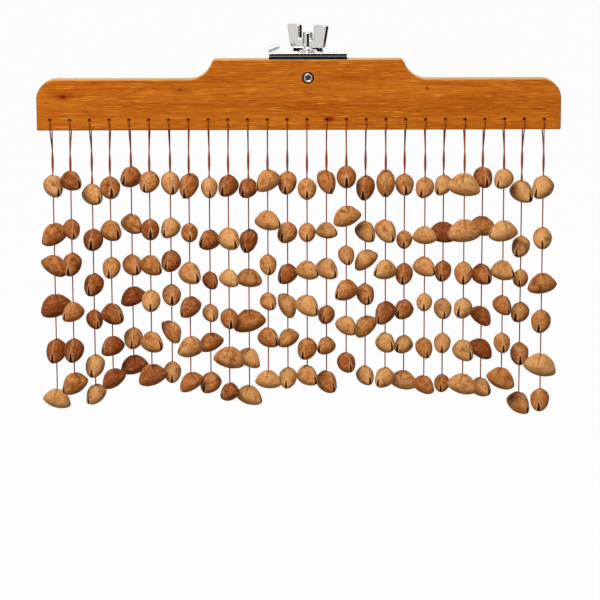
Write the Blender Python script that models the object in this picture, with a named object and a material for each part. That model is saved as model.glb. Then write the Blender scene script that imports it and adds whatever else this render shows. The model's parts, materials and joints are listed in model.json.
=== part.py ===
"""Shell wind chime: a shaped wooden mantle on a chrome bracket, with strands of nut shells.

The mantle runs along X and is seen from -Y. The origin is the middle of the bracket's back face,
where the chime is fastened to a stand. Every strand hangs from a doubled cord that goes through a
hole in the mantle, and swings on an axis along X at the low end of that cord. The strands hang in
two layers, one under the front of the mantle and one under its back, because the shells are wider
than the distance between the holes.
"""

import math
from collections import namedtuple

import bmesh
import bpy
from mathutils import Matrix, Vector

# Driving sizes, in metres
CORD_COUNT = 26
CORD_PITCH = 0.01905
LEFT_MARGIN = 0.0128
RIGHT_MARGIN = 0.0162
MANTLE_THICKNESS = 0.019
WING_HEIGHT = 0.049
RAISED_HEIGHT = 0.068
RAISED_WIDTH = 0.1837
RAISED_CORNER_RADIUS = 0.003
SHOULDER_RADIUS = 0.0231
END_RADIUS = 0.019
FOOT_RADIUS = 0.0015
MANTLE_EDGE = 0.001
CORD_HOLE_DIAMETER = 0.0029
CORD_HOLE_HEIGHT = 0.0099
BRACKET_OFFSET = 0.009

BRACKET_WIDTH = 0.075
BRACKET_THICKNESS = 0.003
BRACKET_BEND = 0.0045
REAR_LEG_HEIGHT = 0.036
PAD_THICKNESS = 0.0022

BOLT_DIAMETER = 0.006
BOLT_TIP_CHAMFER = 0.0008
HUB_DIAMETER = 0.0098
HUB_HEIGHT = 0.0185
COLLAR_DIAMETER = 0.0125
COLLAR_HEIGHT = 0.0022
FOOT_SPAN = 0.0295
FOOT_DEPTH = 0.0068
FOOT_HEIGHT = 0.0042
WING_SPAN = 0.045
WING_FOOT_SPAN = 0.038
WING_PADDLE = 0.0125
WING_TOP = 0.0255
WING_FOOT = 0.0032
WING_THICKNESS = 0.0062
WING_CORNER = 0.002
WING_TURN = math.radians(-35)
WASHER_DIAMETER = 0.0138
WASHER_THICKNESS = 0.0012
NUT_DIAMETER = 0.0098
NUT_LENGTH = 0.0145
NUT_DEPTH = 0.0178
NUT_RECESS = 0.0022
NUT_HOLE_DIAMETER = 0.0112
NUT_SOCKET_DIAMETER = 0.0052
NUT_SOCKET_DEPTH = 0.0025
PIN_DIAMETER = 0.0052
PIN_LENGTH = 0.0105
PIN_RISE = math.radians(20)
PIN_LIFT = 0.0022

CORD_DIAMETER = 0.0012
LOOP_FOOT = 0.0026
LOOP_DROP = 0.021
DROP_STEP = 0.001
SHELL_LENGTH = 0.0325
SHELL_THICKNESS = 0.0193
SHELL_HEIGHT = 0.0218
SHELL_DROOP = 0.003
TIP_TAPER = 0.72

SEAT_GAP = 0.0003
BORE_CLEARANCE = 0.0004
SHELL_CLEARANCE = 0.0006
PIVOT_CLEARANCE = 0.0006

# Facets of the round shapes
CORD_SIDES = 8
RIM_SIDES = 16
BORE_SIDES = 12
ARC_STEPS = 6
SHELL_RINGS = (0.22, 0.5, 0.78)
HALVINGS = 30

# Each strand from left to right, and its six shells from the top down. A shell has its drop below
# the mantle in drop steps, the way its lower tip points (0 to the viewer, 90 to the right) and how
# far that tip dips, in degrees, and its size as a percentage of the usual one.
Shell = namedtuple("Shell", "drop turn dip size")
STRANDS = (
    ((56, 30, 20, 95), (104, -60, 25, 95), (135, 75, 30, 90),
     (175, -80, 20, 105), (220, -15, 25, 100), (269, 80, 15, 90)),
    ((49, 45, 5, 90), (96, 15, 20, 85), (130, -15, 25, 95),
     (178, -40, 10, 90), (216, -10, 20, 100), (249, -55, 20, 95)),
    ((65, 35, 10, 95), (110, -5, 10, 100), (154, -20, 20, 95),
     (189, 20, 15, 85), (235, -15, 25, 95), (264, -40, 25, 85)),
    ((56, 10, 10, 100), (98, 35, 5, 95), (134, -10, 20, 90),
     (180, 45, 5, 95), (212, -45, 10, 90), (244, -65, 30, 85)),
    ((48, -30, 5, 95), (94, 45, 15, 90), (135, 25, 10, 95),
     (166, -70, 20, 85), (208, -5, 15, 95), (235, -80, 15, 90)),
    ((50, -20, 15, 95), (97, 5, 10, 95), (132, 50, 10, 90),
     (167, 0, 15, 95), (208, 45, 5, 95), (241, -80, 20, 95)),
    ((53, 15, 25, 95), (98, -30, 15, 90), (131, -20, 5, 95),
     (165, 5, 10, 95), (201, 60, 50, 85), (242, 0, 20, 90)),
    ((53, -25, 40, 95), (100, 5, 10, 85), (140, 35, 10, 100),
     (173, -40, 20, 90), (213, -55, 5, 95), (248, -75, 30, 85)),
    ((58, 5, 25, 85), (110, -40, 5, 90), (150, 30, 20, 75),
     (183, 20, 10, 80), (212, -70, 20, 85), (253, -30, 10, 95)),
    ((54, -25, 15, 95), (106, 30, 10, 100), (145, 45, 10, 80),
     (185, 10, 15, 90), (224, 85, 10, 100), (258, -40, 5, 80)),
    ((59, -25, 10, 90), (110, -20, 40, 90), (148, 85, 5, 85),
     (191, -85, 15, 105), (228, 60, 25, 85), (266, 70, 15, 90)),
    ((49, -50, 20, 95), (88, 60, 5, 90), (131, 10, 25, 85),
     (168, 25, 10, 80), (204, 40, 10, 90), (246, 80, 5, 85)),
    ((53, -10, 25, 95), (103, -25, 10, 95), (144, -35, 15, 90),
     (175, 60, 60, 85), (208, -55, 20, 80), (248, -10, 20, 90)),
    ((57, 0, 15, 95), (100, 0, 10, 85), (137, 55, 5, 85),
     (172, 45, 15, 95), (215, -20, 15, 95), (242, 40, 10, 90)),
    ((52, 30, 40, 90), (101, 60, 0, 75), (139, 40, 10, 95),
     (185, -15, 10, 85), (216, -40, 5, 80), (252, 35, 20, 95)),
    ((46, 0, 10, 100), (84, -80, 20, 90), (122, 15, 25, 80),
     (157, -45, 10, 95), (192, 45, 15, 85), (229, 20, 10, 90)),
    ((58, -15, 40, 95), (102, 35, 20, 90), (130, -75, 35, 85),
     (164, 15, 20, 90), (196, -70, 40, 85), (246, 25, 15, 85)),
    ((51, -5, 60, 95), (98, 35, 25, 95), (137, -50, 0, 90),
     (179, -35, 25, 95), (209, 30, 5, 90), (244, -35, 10, 90)),
    ((56, 5, 15, 95), (110, -5, 15, 80), (144, -10, 20, 90),
     (180, -30, 10, 90), (215, -35, 5, 85), (251, 75, 10, 90)),
    ((56, -20, 15, 90), (103, 70, 0, 80), (134, 45, 10, 90),
     (169, -5, 10, 80), (214, 15, 25, 85), (251, 60, 20, 80)),
    ((56, -35, 25, 85), (103, 85, 5, 95), (141, -15, 25, 85),
     (179, 5, 15, 90), (213, -5, 20, 85), (254, -10, 10, 80)),
    ((54, 85, 10, 105), (99, -85, 5, 105), (140, -5, 20, 95),
     (175, -25, 5, 90), (217, 30, 10, 95), (251, 80, 15, 95)),
    ((49, 15, 10, 95), (97, 80, 5, 90), (145, 30, 10, 95),
     (186, 65, 35, 80), (219, 70, 30, 85), (258, 40, 5, 85)),
    ((48, -30, 10, 90), (99, -70, 5, 95), (138, 50, 5, 90),
     (172, 30, 20, 85), (209, 5, 20, 85), (245, 65, 20, 95)),
    ((63, 35, 15, 100), (117, -25, 20, 90), (149, -10, 10, 80),
     (183, -25, 10, 90), (224, 0, 20, 95), (274, 40, 20, 95)),
    ((56, -35, 15, 100), (106, -5, 15, 95), (151, -80, 10, 95),
     (188, -15, 15, 100), (232, 80, 15, 105), (266, -10, 20, 95)),
)

# Places worked out from the sizes
MANTLE_LENGTH = LEFT_MARGIN + (CORD_COUNT - 1) * CORD_PITCH + RIGHT_MARGIN
MANTLE_LEFT = -BRACKET_OFFSET - MANTLE_LENGTH / 2
MANTLE_RIGHT = MANTLE_LEFT + MANTLE_LENGTH
MANTLE_BACK = -BRACKET_THICKNESS - SEAT_GAP
MANTLE_FRONT = MANTLE_BACK - MANTLE_THICKNESS
MANTLE_MIDDLE = (MANTLE_BACK + MANTLE_FRONT) / 2
PLATE_TOP = REAR_LEG_HEIGHT / 2
PLATE_UNDER = PLATE_TOP - BRACKET_THICKNESS
PAD_TOP = PLATE_UNDER - SEAT_GAP
PAD_UNDER = PAD_TOP - PAD_THICKNESS
RAISED_TOP = PAD_UNDER - SEAT_GAP
MANTLE_FOOT = RAISED_TOP - RAISED_HEIGHT
WING_LINE = MANTLE_FOOT + WING_HEIGHT
NUT_CENTRE = RAISED_TOP - NUT_DEPTH
WASHER_UNDER = PLATE_TOP + SEAT_GAP
HUB_UNDER = WASHER_UNDER + WASHER_THICKNESS + SEAT_GAP
BORE_DIAMETER = BOLT_DIAMETER + 2 * BORE_CLEARANCE
CORD_RADIUS = CORD_DIAMETER / 2
HOLE_LINE = MANTLE_FOOT + CORD_HOLE_HEIGHT
SHELL_REACH = (SHELL_LENGTH + SHELL_THICKNESS) / 2 + SHELL_CLEARANCE
LAYER_DEPTH = math.sqrt(max(SHELL_REACH**2 - CORD_PITCH**2, SHELL_THICKNESS**2)) / 2


def clear_scene():
    for item in list(bpy.data.objects):
        bpy.data.objects.remove(item)


def make_material(name, colour, roughness, metallic=0.0):
    material = bpy.data.materials.new(name)
    material.use_nodes = True
    shader = material.node_tree.nodes["Principled BSDF"]
    shader.inputs["Base Color"].default_value = (*colour, 1.0)
    shader.inputs["Roughness"].default_value = roughness
    shader.inputs["Metallic"].default_value = metallic
    return material


def add_object(name, mesh, material=None, smooth_angle=None):
    """A new object for a mesh, bmesh or curve, at the world's origin."""
    if isinstance(mesh, bmesh.types.BMesh):
        bmesh.ops.recalc_face_normals(mesh, faces=mesh.faces)
        data = bpy.data.meshes.new(name)
        mesh.to_mesh(data)
        mesh.free()
        mesh = data
    if smooth_angle is not None:
        mesh.shade_smooth()
        mesh.set_sharp_from_angle(angle=smooth_angle)
    item = bpy.data.objects.new(name, mesh)
    bpy.context.scene.collection.objects.link(item)
    if material:
        mesh.materials.append(material)
    return item


def combine(item, operation, helper):
    """A Boolean on item with a helper that is left out of the model."""
    helper.hide_render = True
    helper.display_type = "WIRE"
    modifier = item.modifiers.new(helper.name, "BOOLEAN")
    modifier.operation = operation
    modifier.object = helper


def arc(centre, radius, start, end, steps=ARC_STEPS):
    """Points of an arc in a plane, angles in degrees."""
    turns = [math.radians(start + (end - start) * i / steps) for i in range(steps + 1)]
    return [(centre[0] + radius * math.cos(t), centre[1] + radius * math.sin(t)) for t in turns]


def prism(outline, depth, to_world):
    """A closed prism from an outline, extruded by depth along the outline's normal."""
    mesh = bmesh.new()
    face = mesh.faces.new([mesh.verts.new((x, y, 0.0)) for x, y in outline])
    grown = bmesh.ops.extrude_face_region(mesh, geom=[face])
    raised = [v for v in grown["geom"] if isinstance(v, bmesh.types.BMVert)]
    bmesh.ops.translate(mesh, verts=raised, vec=(0.0, 0.0, depth))
    mesh.transform(to_world)
    return mesh


def turned(profile, sides, to_world=Matrix.Identity(4)):
    """A closed solid turned about Z from a profile of (radius, height) that starts and ends on Z."""
    mesh = bmesh.new()
    rings = []
    for radius, height in profile:
        if radius == 0.0:
            rings.append([mesh.verts.new((0.0, 0.0, height))] * sides)
            continue
        turns = [2 * math.pi * (i + 0.5) / sides for i in range(sides)]
        rings.append([mesh.verts.new((radius * math.cos(t), radius * math.sin(t), height)) for t in turns])
    bridge(mesh, rings)
    mesh.transform(to_world)
    return mesh


def bridge(mesh, rings):
    """Faces between neighbouring rings, with triangles where a ring is a single point."""
    for lower, upper in zip(rings, rings[1:]):
        for i in range(len(lower)):
            j = (i + 1) % len(lower)
            corners = dict.fromkeys((lower[i], lower[j], upper[j], upper[i]))
            if len(corners) > 2:
                mesh.faces.new(corners)


def rod(start, end, diameter, sides=BORE_SIDES):
    """A plain round rod between two points."""
    start, end = Vector(start), Vector(end)
    along = end - start
    to_world = Matrix.Translation(start) @ along.to_track_quat("Z", "Y").to_matrix().to_4x4()
    radius = diameter / 2
    return turned([(0.0, 0.0), (radius, 0.0), (radius, along.length), (0.0, along.length)], sides, to_world)


def hole_x(index):
    return MANTLE_LEFT + LEFT_MARGIN + index * CORD_PITCH


def mantle_outline():
    """The bar's front outline, from its lower left corner round by the right."""
    half = RAISED_WIDTH / 2
    rise = RAISED_TOP - WING_LINE
    lean = math.degrees(math.acos((SHOULDER_RADIUS - rise) / SHOULDER_RADIUS))
    run = SHOULDER_RADIUS * math.sin(math.radians(lean))
    hollow = WING_LINE + SHOULDER_RADIUS
    corner = RAISED_CORNER_RADIUS
    return (
        arc((MANTLE_LEFT + FOOT_RADIUS, MANTLE_FOOT + FOOT_RADIUS), FOOT_RADIUS, 180, 270, 2)
        + arc((MANTLE_RIGHT - FOOT_RADIUS, MANTLE_FOOT + FOOT_RADIUS), FOOT_RADIUS, -90, 0, 2)
        + arc((MANTLE_RIGHT - END_RADIUS, WING_LINE - END_RADIUS), END_RADIUS, 0, 90)
        + arc((half + run, hollow), SHOULDER_RADIUS, 270, 270 - lean)[:-1]
        + arc((half - corner, RAISED_TOP - corner), corner, 20, 90, 3)
        + arc((-half + corner, RAISED_TOP - corner), corner, 90, 160, 3)
        + arc((-half - run, hollow), SHOULDER_RADIUS, 270 + lean, 270)[1:]
        + arc((MANTLE_LEFT + END_RADIUS, WING_LINE - END_RADIUS), END_RADIUS, 90, 180)
    )


def make_mantle(material):
    back = MANTLE_BACK - MANTLE_EDGE
    stand_up = Matrix.Translation((0.0, back, 0.0)) @ Matrix.Rotation(math.pi / 2, 4, "X")
    mesh = prism(mantle_outline(), MANTLE_THICKNESS - 2 * MANTLE_EDGE, stand_up)
    bmesh.ops.recalc_face_normals(mesh, faces=mesh.faces)
    caps = [face for face in mesh.faces if abs(face.normal.y) > 0.9]
    bmesh.ops.inset_individual(mesh, faces=caps, thickness=MANTLE_EDGE, depth=MANTLE_EDGE)
    mantle = add_object("mantle", mesh, material, math.radians(35))
    holes = bmesh.new()
    for index in range(CORD_COUNT):
        at = Vector((hole_x(index), 0.0, HOLE_LINE))
        front, back = at + Vector((0, 2 * MANTLE_FRONT, 0)), at + Vector((0, MANTLE_THICKNESS, 0))
        hole = rod(front, back, CORD_HOLE_DIAMETER, CORD_SIDES)
        data = bpy.data.meshes.new("cord_hole")
        hole.to_mesh(data)
        hole.free()
        holes.from_mesh(data)
    combine(mantle, "DIFFERENCE", add_object("cord_hole_cutter", holes))
    pocket_end = MANTLE_FRONT + NUT_RECESS + NUT_LENGTH + SEAT_GAP
    pocket = rod((0, 2 * MANTLE_FRONT, NUT_CENTRE), (0, pocket_end, NUT_CENTRE), NUT_HOLE_DIAMETER, RIM_SIDES)
    combine(mantle, "DIFFERENCE", add_object("nut_pocket_cutter", pocket))
    combine(mantle, "DIFFERENCE", bpy.data.objects["bolt_bore_cutter"])


def make_bolt_bore():
    """The helper that opens the bolt's way through bracket, pad and wood into the nut."""
    low = NUT_CENTRE - NUT_DIAMETER
    bore = rod((0, MANTLE_MIDDLE, low), (0, MANTLE_MIDDLE, PLATE_TOP + HUB_HEIGHT), BORE_DIAMETER, BORE_SIDES)
    add_object("bolt_bore_cutter", bore)


def make_bracket(material):
    """A bent plate: its top leg lies over the mantle and its rear leg hangs behind it."""
    inner = BRACKET_BEND - BRACKET_THICKNESS
    leg_end = -REAR_LEG_HEIGHT / 2
    bend = (-BRACKET_BEND, PLATE_TOP - BRACKET_BEND)
    outline = (
        [(MANTLE_FRONT, PLATE_UNDER), (MANTLE_FRONT, PLATE_TOP)]
        + arc(bend, BRACKET_BEND, 90, 0, 4)
        + [(0.0, leg_end), (-BRACKET_THICKNESS, leg_end)]
        + arc(bend, inner, 0, 90, 4)
    )
    across = Matrix.Translation((-BRACKET_WIDTH / 2, 0, 0)) @ Matrix(
        ((0, 0, 1, 0), (1, 0, 0, 0), (0, 1, 0, 0), (0, 0, 0, 1))
    )
    bracket = add_object("bracket", prism(outline, BRACKET_WIDTH, across), material)
    combine(bracket, "DIFFERENCE", bpy.data.objects["bolt_bore_cutter"])


def make_pad(material):
    """The pad fills the space between plate and wood, up to the bend."""
    half = BRACKET_WIDTH / 2
    back = -BRACKET_BEND - SEAT_GAP
    outline = [(-half, MANTLE_FRONT), (half, MANTLE_FRONT), (half, back), (-half, back)]
    pad = add_object(
        "rubber_pad", prism(outline, PAD_THICKNESS, Matrix.Translation((0, 0, PAD_UNDER))), material
    )
    combine(pad, "DIFFERENCE", bpy.data.objects["bolt_bore_cutter"])


def make_washer(material):
    radius = WASHER_DIAMETER / 2
    edge = WASHER_THICKNESS / 4
    disc = turned(
        [
            (0.0, 0.0),
            (radius, 0.0),
            (radius, WASHER_THICKNESS - edge),
            (radius - edge, WASHER_THICKNESS),
            (0.0, WASHER_THICKNESS),
        ],
        RIM_SIDES,
        Matrix.Translation((0, MANTLE_MIDDLE, WASHER_UNDER)),
    )
    washer = add_object("washer", disc, material, math.radians(35))
    combine(washer, "DIFFERENCE", bpy.data.objects["bolt_bore_cutter"])


def make_wing_bolt(material):
    """Shank, collar and hub turned in one, with two flared wings joined to the hub."""
    to_world = Matrix.Translation((0, MANTLE_MIDDLE, HUB_UNDER)) @ Matrix.Rotation(WING_TURN, 4, "Z")
    shank, hub, collar = BOLT_DIAMETER / 2, HUB_DIAMETER / 2, COLLAR_DIAMETER / 2
    tip = NUT_CENTRE - NUT_DIAMETER / 2 - HUB_UNDER
    crown = HUB_DIAMETER / 8
    body = turned(
        [
            (0.0, tip),
            (shank - BOLT_TIP_CHAMFER, tip),
            (shank, tip + BOLT_TIP_CHAMFER),
            (shank, 0.0),
            (collar, 0.0),
            (collar, COLLAR_HEIGHT),
            (hub, COLLAR_HEIGHT + crown),
            (hub, HUB_HEIGHT - crown),
            (hub - crown, HUB_HEIGHT),
            (0.0, HUB_HEIGHT),
        ],
        RIM_SIDES,
        to_world,
    )
    bolt = add_object("wing_bolt", body, material, math.radians(35))
    stand = Matrix.Translation((0, MANTLE_MIDDLE + FOOT_DEPTH / 2, HUB_UNDER)) @ Matrix.Rotation(math.pi / 2, 4, "X")
    feet = prism(foot_outline(), FOOT_DEPTH, stand)
    combine(bolt, "UNION", add_object("foot_joiner", feet))
    flip = Matrix.Rotation(math.pi, 4, "Z")
    lie_flat = Matrix.Translation((0, WING_THICKNESS / 2, 0)) @ Matrix.Rotation(math.pi / 2, 4, "X")
    for side, turn in (("right", Matrix.Identity(4)), ("left", flip)):
        wing = prism(wing_outline(), WING_THICKNESS, to_world @ turn @ lie_flat)
        combine(bolt, "UNION", add_object(f"{side}_wing_joiner", wing))


def foot_outline():
    """The bar under the wings, whose two feet end just above the plate on both sides of the washer."""
    reach, inner = FOOT_SPAN / 2, WASHER_DIAMETER / 2 + BORE_CLEARANCE
    low, seat = PLATE_TOP + SEAT_GAP * 2 - HUB_UNDER, SEAT_GAP
    corner = FOOT_HEIGHT / 3
    right = [
        (inner, seat),
        (inner, low),
        (reach, low),
        (reach, FOOT_HEIGHT - corner),
        (reach - corner, FOOT_HEIGHT),
    ]
    return right + [(-x, z) for x, z in reversed(right)]


def wing_outline():
    """One wing in its own plane, from inside the hub outwards and up to its rounded paddle."""
    root, foot, reach = HUB_DIAMETER / 4, WING_FOOT_SPAN / 2, WING_SPAN / 2
    inner = reach - WING_PADDLE
    corner = WING_CORNER
    neck = (WING_FOOT + HUB_HEIGHT) / 2
    return (
        [(root, WING_FOOT)]
        + arc((foot - corner, WING_FOOT + corner), corner, 270, 350, 3)
        + arc((reach - corner, WING_TOP - corner), corner, -10, 90, 3)
        + arc((inner + corner, WING_TOP - corner), corner, 90, 170, 3)
        + [(inner, neck + corner), (root, neck - corner)]
    )


def make_barrel_nut(material):
    """A cross dowel with a screwdriver socket in its front end and the bolt's bore across it."""
    radius, socket = NUT_DIAMETER / 2, NUT_SOCKET_DIAMETER / 2
    edge = (radius - socket) / 4
    face_out = Matrix.Translation((0, MANTLE_FRONT + NUT_RECESS, NUT_CENTRE)) @ Matrix.Rotation(
        -math.pi / 2, 4, "X"
    )
    body = turned(
        [
            (0.0, NUT_SOCKET_DEPTH),
            (socket, NUT_SOCKET_DEPTH),
            (socket, 0.0),
            (radius - edge, 0.0),
            (radius, edge),
            (radius, NUT_LENGTH),
            (0.0, NUT_LENGTH),
        ],
        RIM_SIDES,
        face_out,
    )
    nut = add_object("barrel_nut", body, material, math.radians(35))
    combine(nut, "DIFFERENCE", bpy.data.objects["bolt_bore_cutter"])


def make_stop_pin(material):
    """A short pin that rises from the left end of the plate, cut flat where it sits on it."""
    seat = PLATE_TOP + SEAT_GAP
    along = Vector((math.cos(PIN_RISE), 0.0, math.sin(PIN_RISE)))
    low_end = Vector((-BRACKET_WIDTH / 2, MANTLE_MIDDLE, seat + PIN_LIFT))
    mesh = rod(low_end, low_end + along * PIN_LENGTH, PIN_DIAMETER, BORE_SIDES)
    everything = mesh.verts[:] + mesh.edges[:] + mesh.faces[:]
    cut = bmesh.ops.bisect_plane(
        mesh, geom=everything, plane_co=(0, 0, seat), plane_no=(0, 0, -1), clear_outer=True
    )
    rim = [e for e in cut["geom_cut"] if isinstance(e, bmesh.types.BMEdge)]
    if rim:
        bmesh.ops.contextual_create(mesh, geom=rim)
    add_object("stop_pin", mesh, material, math.radians(35))


def layer_y(index):
    """Every second strand hangs in front of the mantle's middle, and the others behind it."""
    return MANTLE_MIDDLE + (LAYER_DEPTH if index % 2 == 0 else -LAYER_DEPTH)


def shell_axes(shell):
    """The shell's long axis towards its lower tip, its thickness and its height, as unit vectors."""
    turn, dip = math.radians(shell.turn), math.radians(shell.dip)
    heading = Vector((math.sin(turn), -math.cos(turn), 0.0))
    across = Vector((math.cos(turn), math.sin(turn), 0.0))
    length = heading * math.cos(dip) - Vector((0.0, 0.0, math.sin(dip)))
    return length, across, length.cross(across)


def shell_point(shell, direction):
    """Where a ray from the shell's middle leaves it, as an offset from the middle."""
    scale = shell.size / 100
    length, across, height = shell_axes(shell)
    u = direction.dot(length) / (scale * SHELL_LENGTH / 2)
    v = direction.dot(across) / (scale * SHELL_THICKNESS / 2)
    w = direction.dot(height) / (scale * SHELL_HEIGHT / 2)
    girth = math.hypot(v, w)
    reach, beyond = 0.0, 1 / max(abs(u), girth)
    for _ in range(HALVINGS):
        tried = (reach + beyond) / 2
        if girth * tried < (1 - (u * tried) ** 2) ** TIP_TAPER:
            reach = tried
        else:
            beyond = tried
    return direction * reach - height * (scale * SHELL_DROOP * (u * reach) ** 2)


def shell_ring(shell, share):
    """A ring round the shell: share 0 is where the cord goes in, 0.5 passes both tips, 1 is below."""
    step = 2 * math.pi / CORD_SIDES
    turn, dip = math.radians(shell.turn), math.radians(shell.dip)
    first = (turn + step / 2) % step - step / 2
    points = []
    for i in range(CORD_SIDES):
        bearing = first + i * step
        waist = math.atan(-math.tan(dip) * math.cos(bearing - turn))
        pole = math.pi / 2 if share < 0.5 else -math.pi / 2
        lift = waist + (pole - waist) * abs(1 - 2 * share)
        flat = Vector((math.sin(bearing), -math.cos(bearing), 0.0)) * math.cos(lift)
        points.append(shell_point(shell, flat + Vector((0.0, 0.0, math.sin(lift)))))
    return points


def cord_ring(radius):
    step = 2 * math.pi / CORD_SIDES
    turns = [i * step for i in range(CORD_SIDES)]
    return [Vector((radius * math.sin(t), -radius * math.cos(t), 0.0)) for t in turns]


def cord_end(shell, sign):
    """How far the shell reaches straight up or down from its middle, where the cord passes."""
    return shell_point(shell, Vector((0.0, 0.0, sign))).z


def shell_height(shell):
    return MANTLE_FOOT - shell.drop * DROP_STEP


def shell_span(shell):
    """How far the shell's rings reach below and above its middle."""
    heights = [p.z for share in SHELL_RINGS for p in shell_ring(shell, share)]
    return min(heights), max(heights)


def hung_shells(index):
    """A strand's shells at their drops, lower where one would sit on the shell above it."""
    hung = []
    for row in STRANDS[index % len(STRANDS)]:
        shell = Shell(*row)
        if hung:
            above = hung[-1]
            room = shell_span(shell)[1] - shell_span(above)[0]
            shell = shell._replace(drop=max(shell.drop, above.drop + room / DROP_STEP))
        hung.append(shell)
    return hung


def pivot_height():
    return MANTLE_FOOT - LOOP_DROP


def make_strand(index, material):
    """One cord with its shells as a single skin of rings, from the pivot down to the last shell."""
    strand = hung_shells(index)
    pivot = Vector((hole_x(index), layer_y(index), pivot_height()))
    start = CORD_RADIUS + PIVOT_CLEARANCE
    taper = CORD_RADIUS / 2
    rings = [
        [p + Vector((0, 0, -start)) for p in cord_ring(taper)],
        [p + Vector((0, 0, -start - CORD_RADIUS)) for p in cord_ring(CORD_RADIUS)],
    ]
    for shell in strand:
        middle = Vector((0.0, 0.0, shell_height(shell) - pivot.z))
        entry, leave = cord_end(shell, 1.0), cord_end(shell, -1.0)
        rings.append([p + middle + Vector((0, 0, entry)) for p in cord_ring(CORD_RADIUS)])
        rings += [[p + middle for p in shell_ring(shell, share)] for share in SHELL_RINGS]
        rings.append([p + middle + Vector((0, 0, leave)) for p in cord_ring(CORD_RADIUS)])
    mesh = bmesh.new()
    skin = [[mesh.verts.new(p) for p in ring] for ring in rings]
    bridge(mesh, skin)
    mesh.faces.new(skin[0])
    mesh.faces.new(skin[-1])
    item = add_object(f"shell_strand_{index + 1:02d}", mesh, material, math.radians(50))
    item.location = pivot


def make_loop(index, material):
    """A doubled cord through its hole: down both faces of the mantle and in to the strand's pivot."""
    y, z = layer_y(index), pivot_height()
    off = CORD_RADIUS + SEAT_GAP
    front, back = MANTLE_FRONT - off, MANTLE_BACK + off
    rest = HOLE_LINE - CORD_HOLE_DIAMETER / 2 * math.cos(math.pi / CORD_SIDES) + off
    bend = CORD_DIAMETER
    route = [
        (front, rest - bend),
        (front, MANTLE_FOOT),
        (y - LOOP_FOOT / 2, z),
        (y + LOOP_FOOT / 2, z),
        (back, MANTLE_FOOT),
        (back, rest - bend),
        (back - bend, rest),
        (front + bend, rest),
    ]
    curve = bpy.data.curves.new(f"hanger_loop_{index + 1:02d}", "CURVE")
    curve.dimensions = "3D"
    curve.bevel_depth = CORD_RADIUS
    curve.bevel_resolution = 2
    spline = curve.splines.new("POLY")
    spline.points.add(len(route) - 1)
    for point, (along_y, height) in zip(spline.points, route):
        point.co = (hole_x(index), along_y, height, 1.0)
    spline.use_cyclic_u = True
    add_object(curve.name, curve, material)


def main():
    clear_scene()
    wood = make_material("mantle_wood", (0.50, 0.20, 0.05), 0.38)
    chrome = make_material("chrome", (0.80, 0.81, 0.83), 0.12, 1.0)
    steel = make_material("nut_steel", (0.60, 0.60, 0.62), 0.25, 1.0)
    rubber = make_material("pad_rubber", (0.012, 0.012, 0.013), 0.7)
    cord = make_material("waxed_cord", (0.13, 0.035, 0.02), 0.6)
    nutshell = make_material("nut_shell", (0.42, 0.20, 0.075), 0.5)
    make_bolt_bore()
    make_mantle(wood)
    make_bracket(chrome)
    make_pad(rubber)
    make_washer(chrome)
    make_wing_bolt(chrome)
    make_barrel_nut(steel)
    make_stop_pin(chrome)
    for index in range(CORD_COUNT):
        make_loop(index, cord)
        make_strand(index, nutshell)


main()
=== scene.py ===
"""Dresses the shell wind chime: wood grain, polished metal, waxed cords and hollow nut shells.

The solids of the packed frame give the places and the outer sizes, and the settings give the rest.
Each operator makes one piece or one group of like pieces and ties it to the body that it moves with,
except the cords, which are tied to no body, and the stage operator adds light, floor and camera.
"""

import json
import math

import bmesh
import bpy
import numpy as np
from bpy.props import FloatProperty, FloatVectorProperty, IntProperty, PointerProperty
from mathutils import Matrix, Vector, noise

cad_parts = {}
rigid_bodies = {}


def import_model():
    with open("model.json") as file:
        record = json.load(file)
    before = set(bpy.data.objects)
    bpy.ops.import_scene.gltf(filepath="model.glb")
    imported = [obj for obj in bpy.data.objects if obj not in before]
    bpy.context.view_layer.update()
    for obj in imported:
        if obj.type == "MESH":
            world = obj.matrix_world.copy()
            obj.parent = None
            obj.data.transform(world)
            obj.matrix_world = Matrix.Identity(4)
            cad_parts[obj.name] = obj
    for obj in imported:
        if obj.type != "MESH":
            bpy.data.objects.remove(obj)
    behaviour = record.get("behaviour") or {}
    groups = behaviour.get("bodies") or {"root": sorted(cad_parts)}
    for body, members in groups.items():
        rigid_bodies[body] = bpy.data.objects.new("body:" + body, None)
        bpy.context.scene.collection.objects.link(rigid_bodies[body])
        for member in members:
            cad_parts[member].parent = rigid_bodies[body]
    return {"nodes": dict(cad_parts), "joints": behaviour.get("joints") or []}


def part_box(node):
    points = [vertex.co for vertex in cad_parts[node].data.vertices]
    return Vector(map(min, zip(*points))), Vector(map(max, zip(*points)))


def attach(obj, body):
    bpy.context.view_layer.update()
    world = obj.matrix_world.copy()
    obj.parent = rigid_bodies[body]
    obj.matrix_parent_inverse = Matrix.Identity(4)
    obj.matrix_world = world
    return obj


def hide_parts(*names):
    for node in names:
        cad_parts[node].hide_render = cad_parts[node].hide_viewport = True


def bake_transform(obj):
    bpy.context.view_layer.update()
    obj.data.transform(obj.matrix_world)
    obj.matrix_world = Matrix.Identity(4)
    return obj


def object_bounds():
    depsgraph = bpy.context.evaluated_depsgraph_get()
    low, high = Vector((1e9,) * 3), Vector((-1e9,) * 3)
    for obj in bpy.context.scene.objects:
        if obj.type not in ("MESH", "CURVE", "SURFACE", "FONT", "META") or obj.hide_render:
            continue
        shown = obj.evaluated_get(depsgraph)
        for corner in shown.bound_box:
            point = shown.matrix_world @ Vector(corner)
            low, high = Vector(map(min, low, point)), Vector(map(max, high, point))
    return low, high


bl_info = {
    "name": "Shell Wind Chime",
    "version": (1, 0, 0),
    "blender": (4, 5, 0),
    "location": "View3D > Sidebar > Chime",
    "description": "Dresses the solids of a nut shell wind chime",
    "category": "Object",
}

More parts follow.
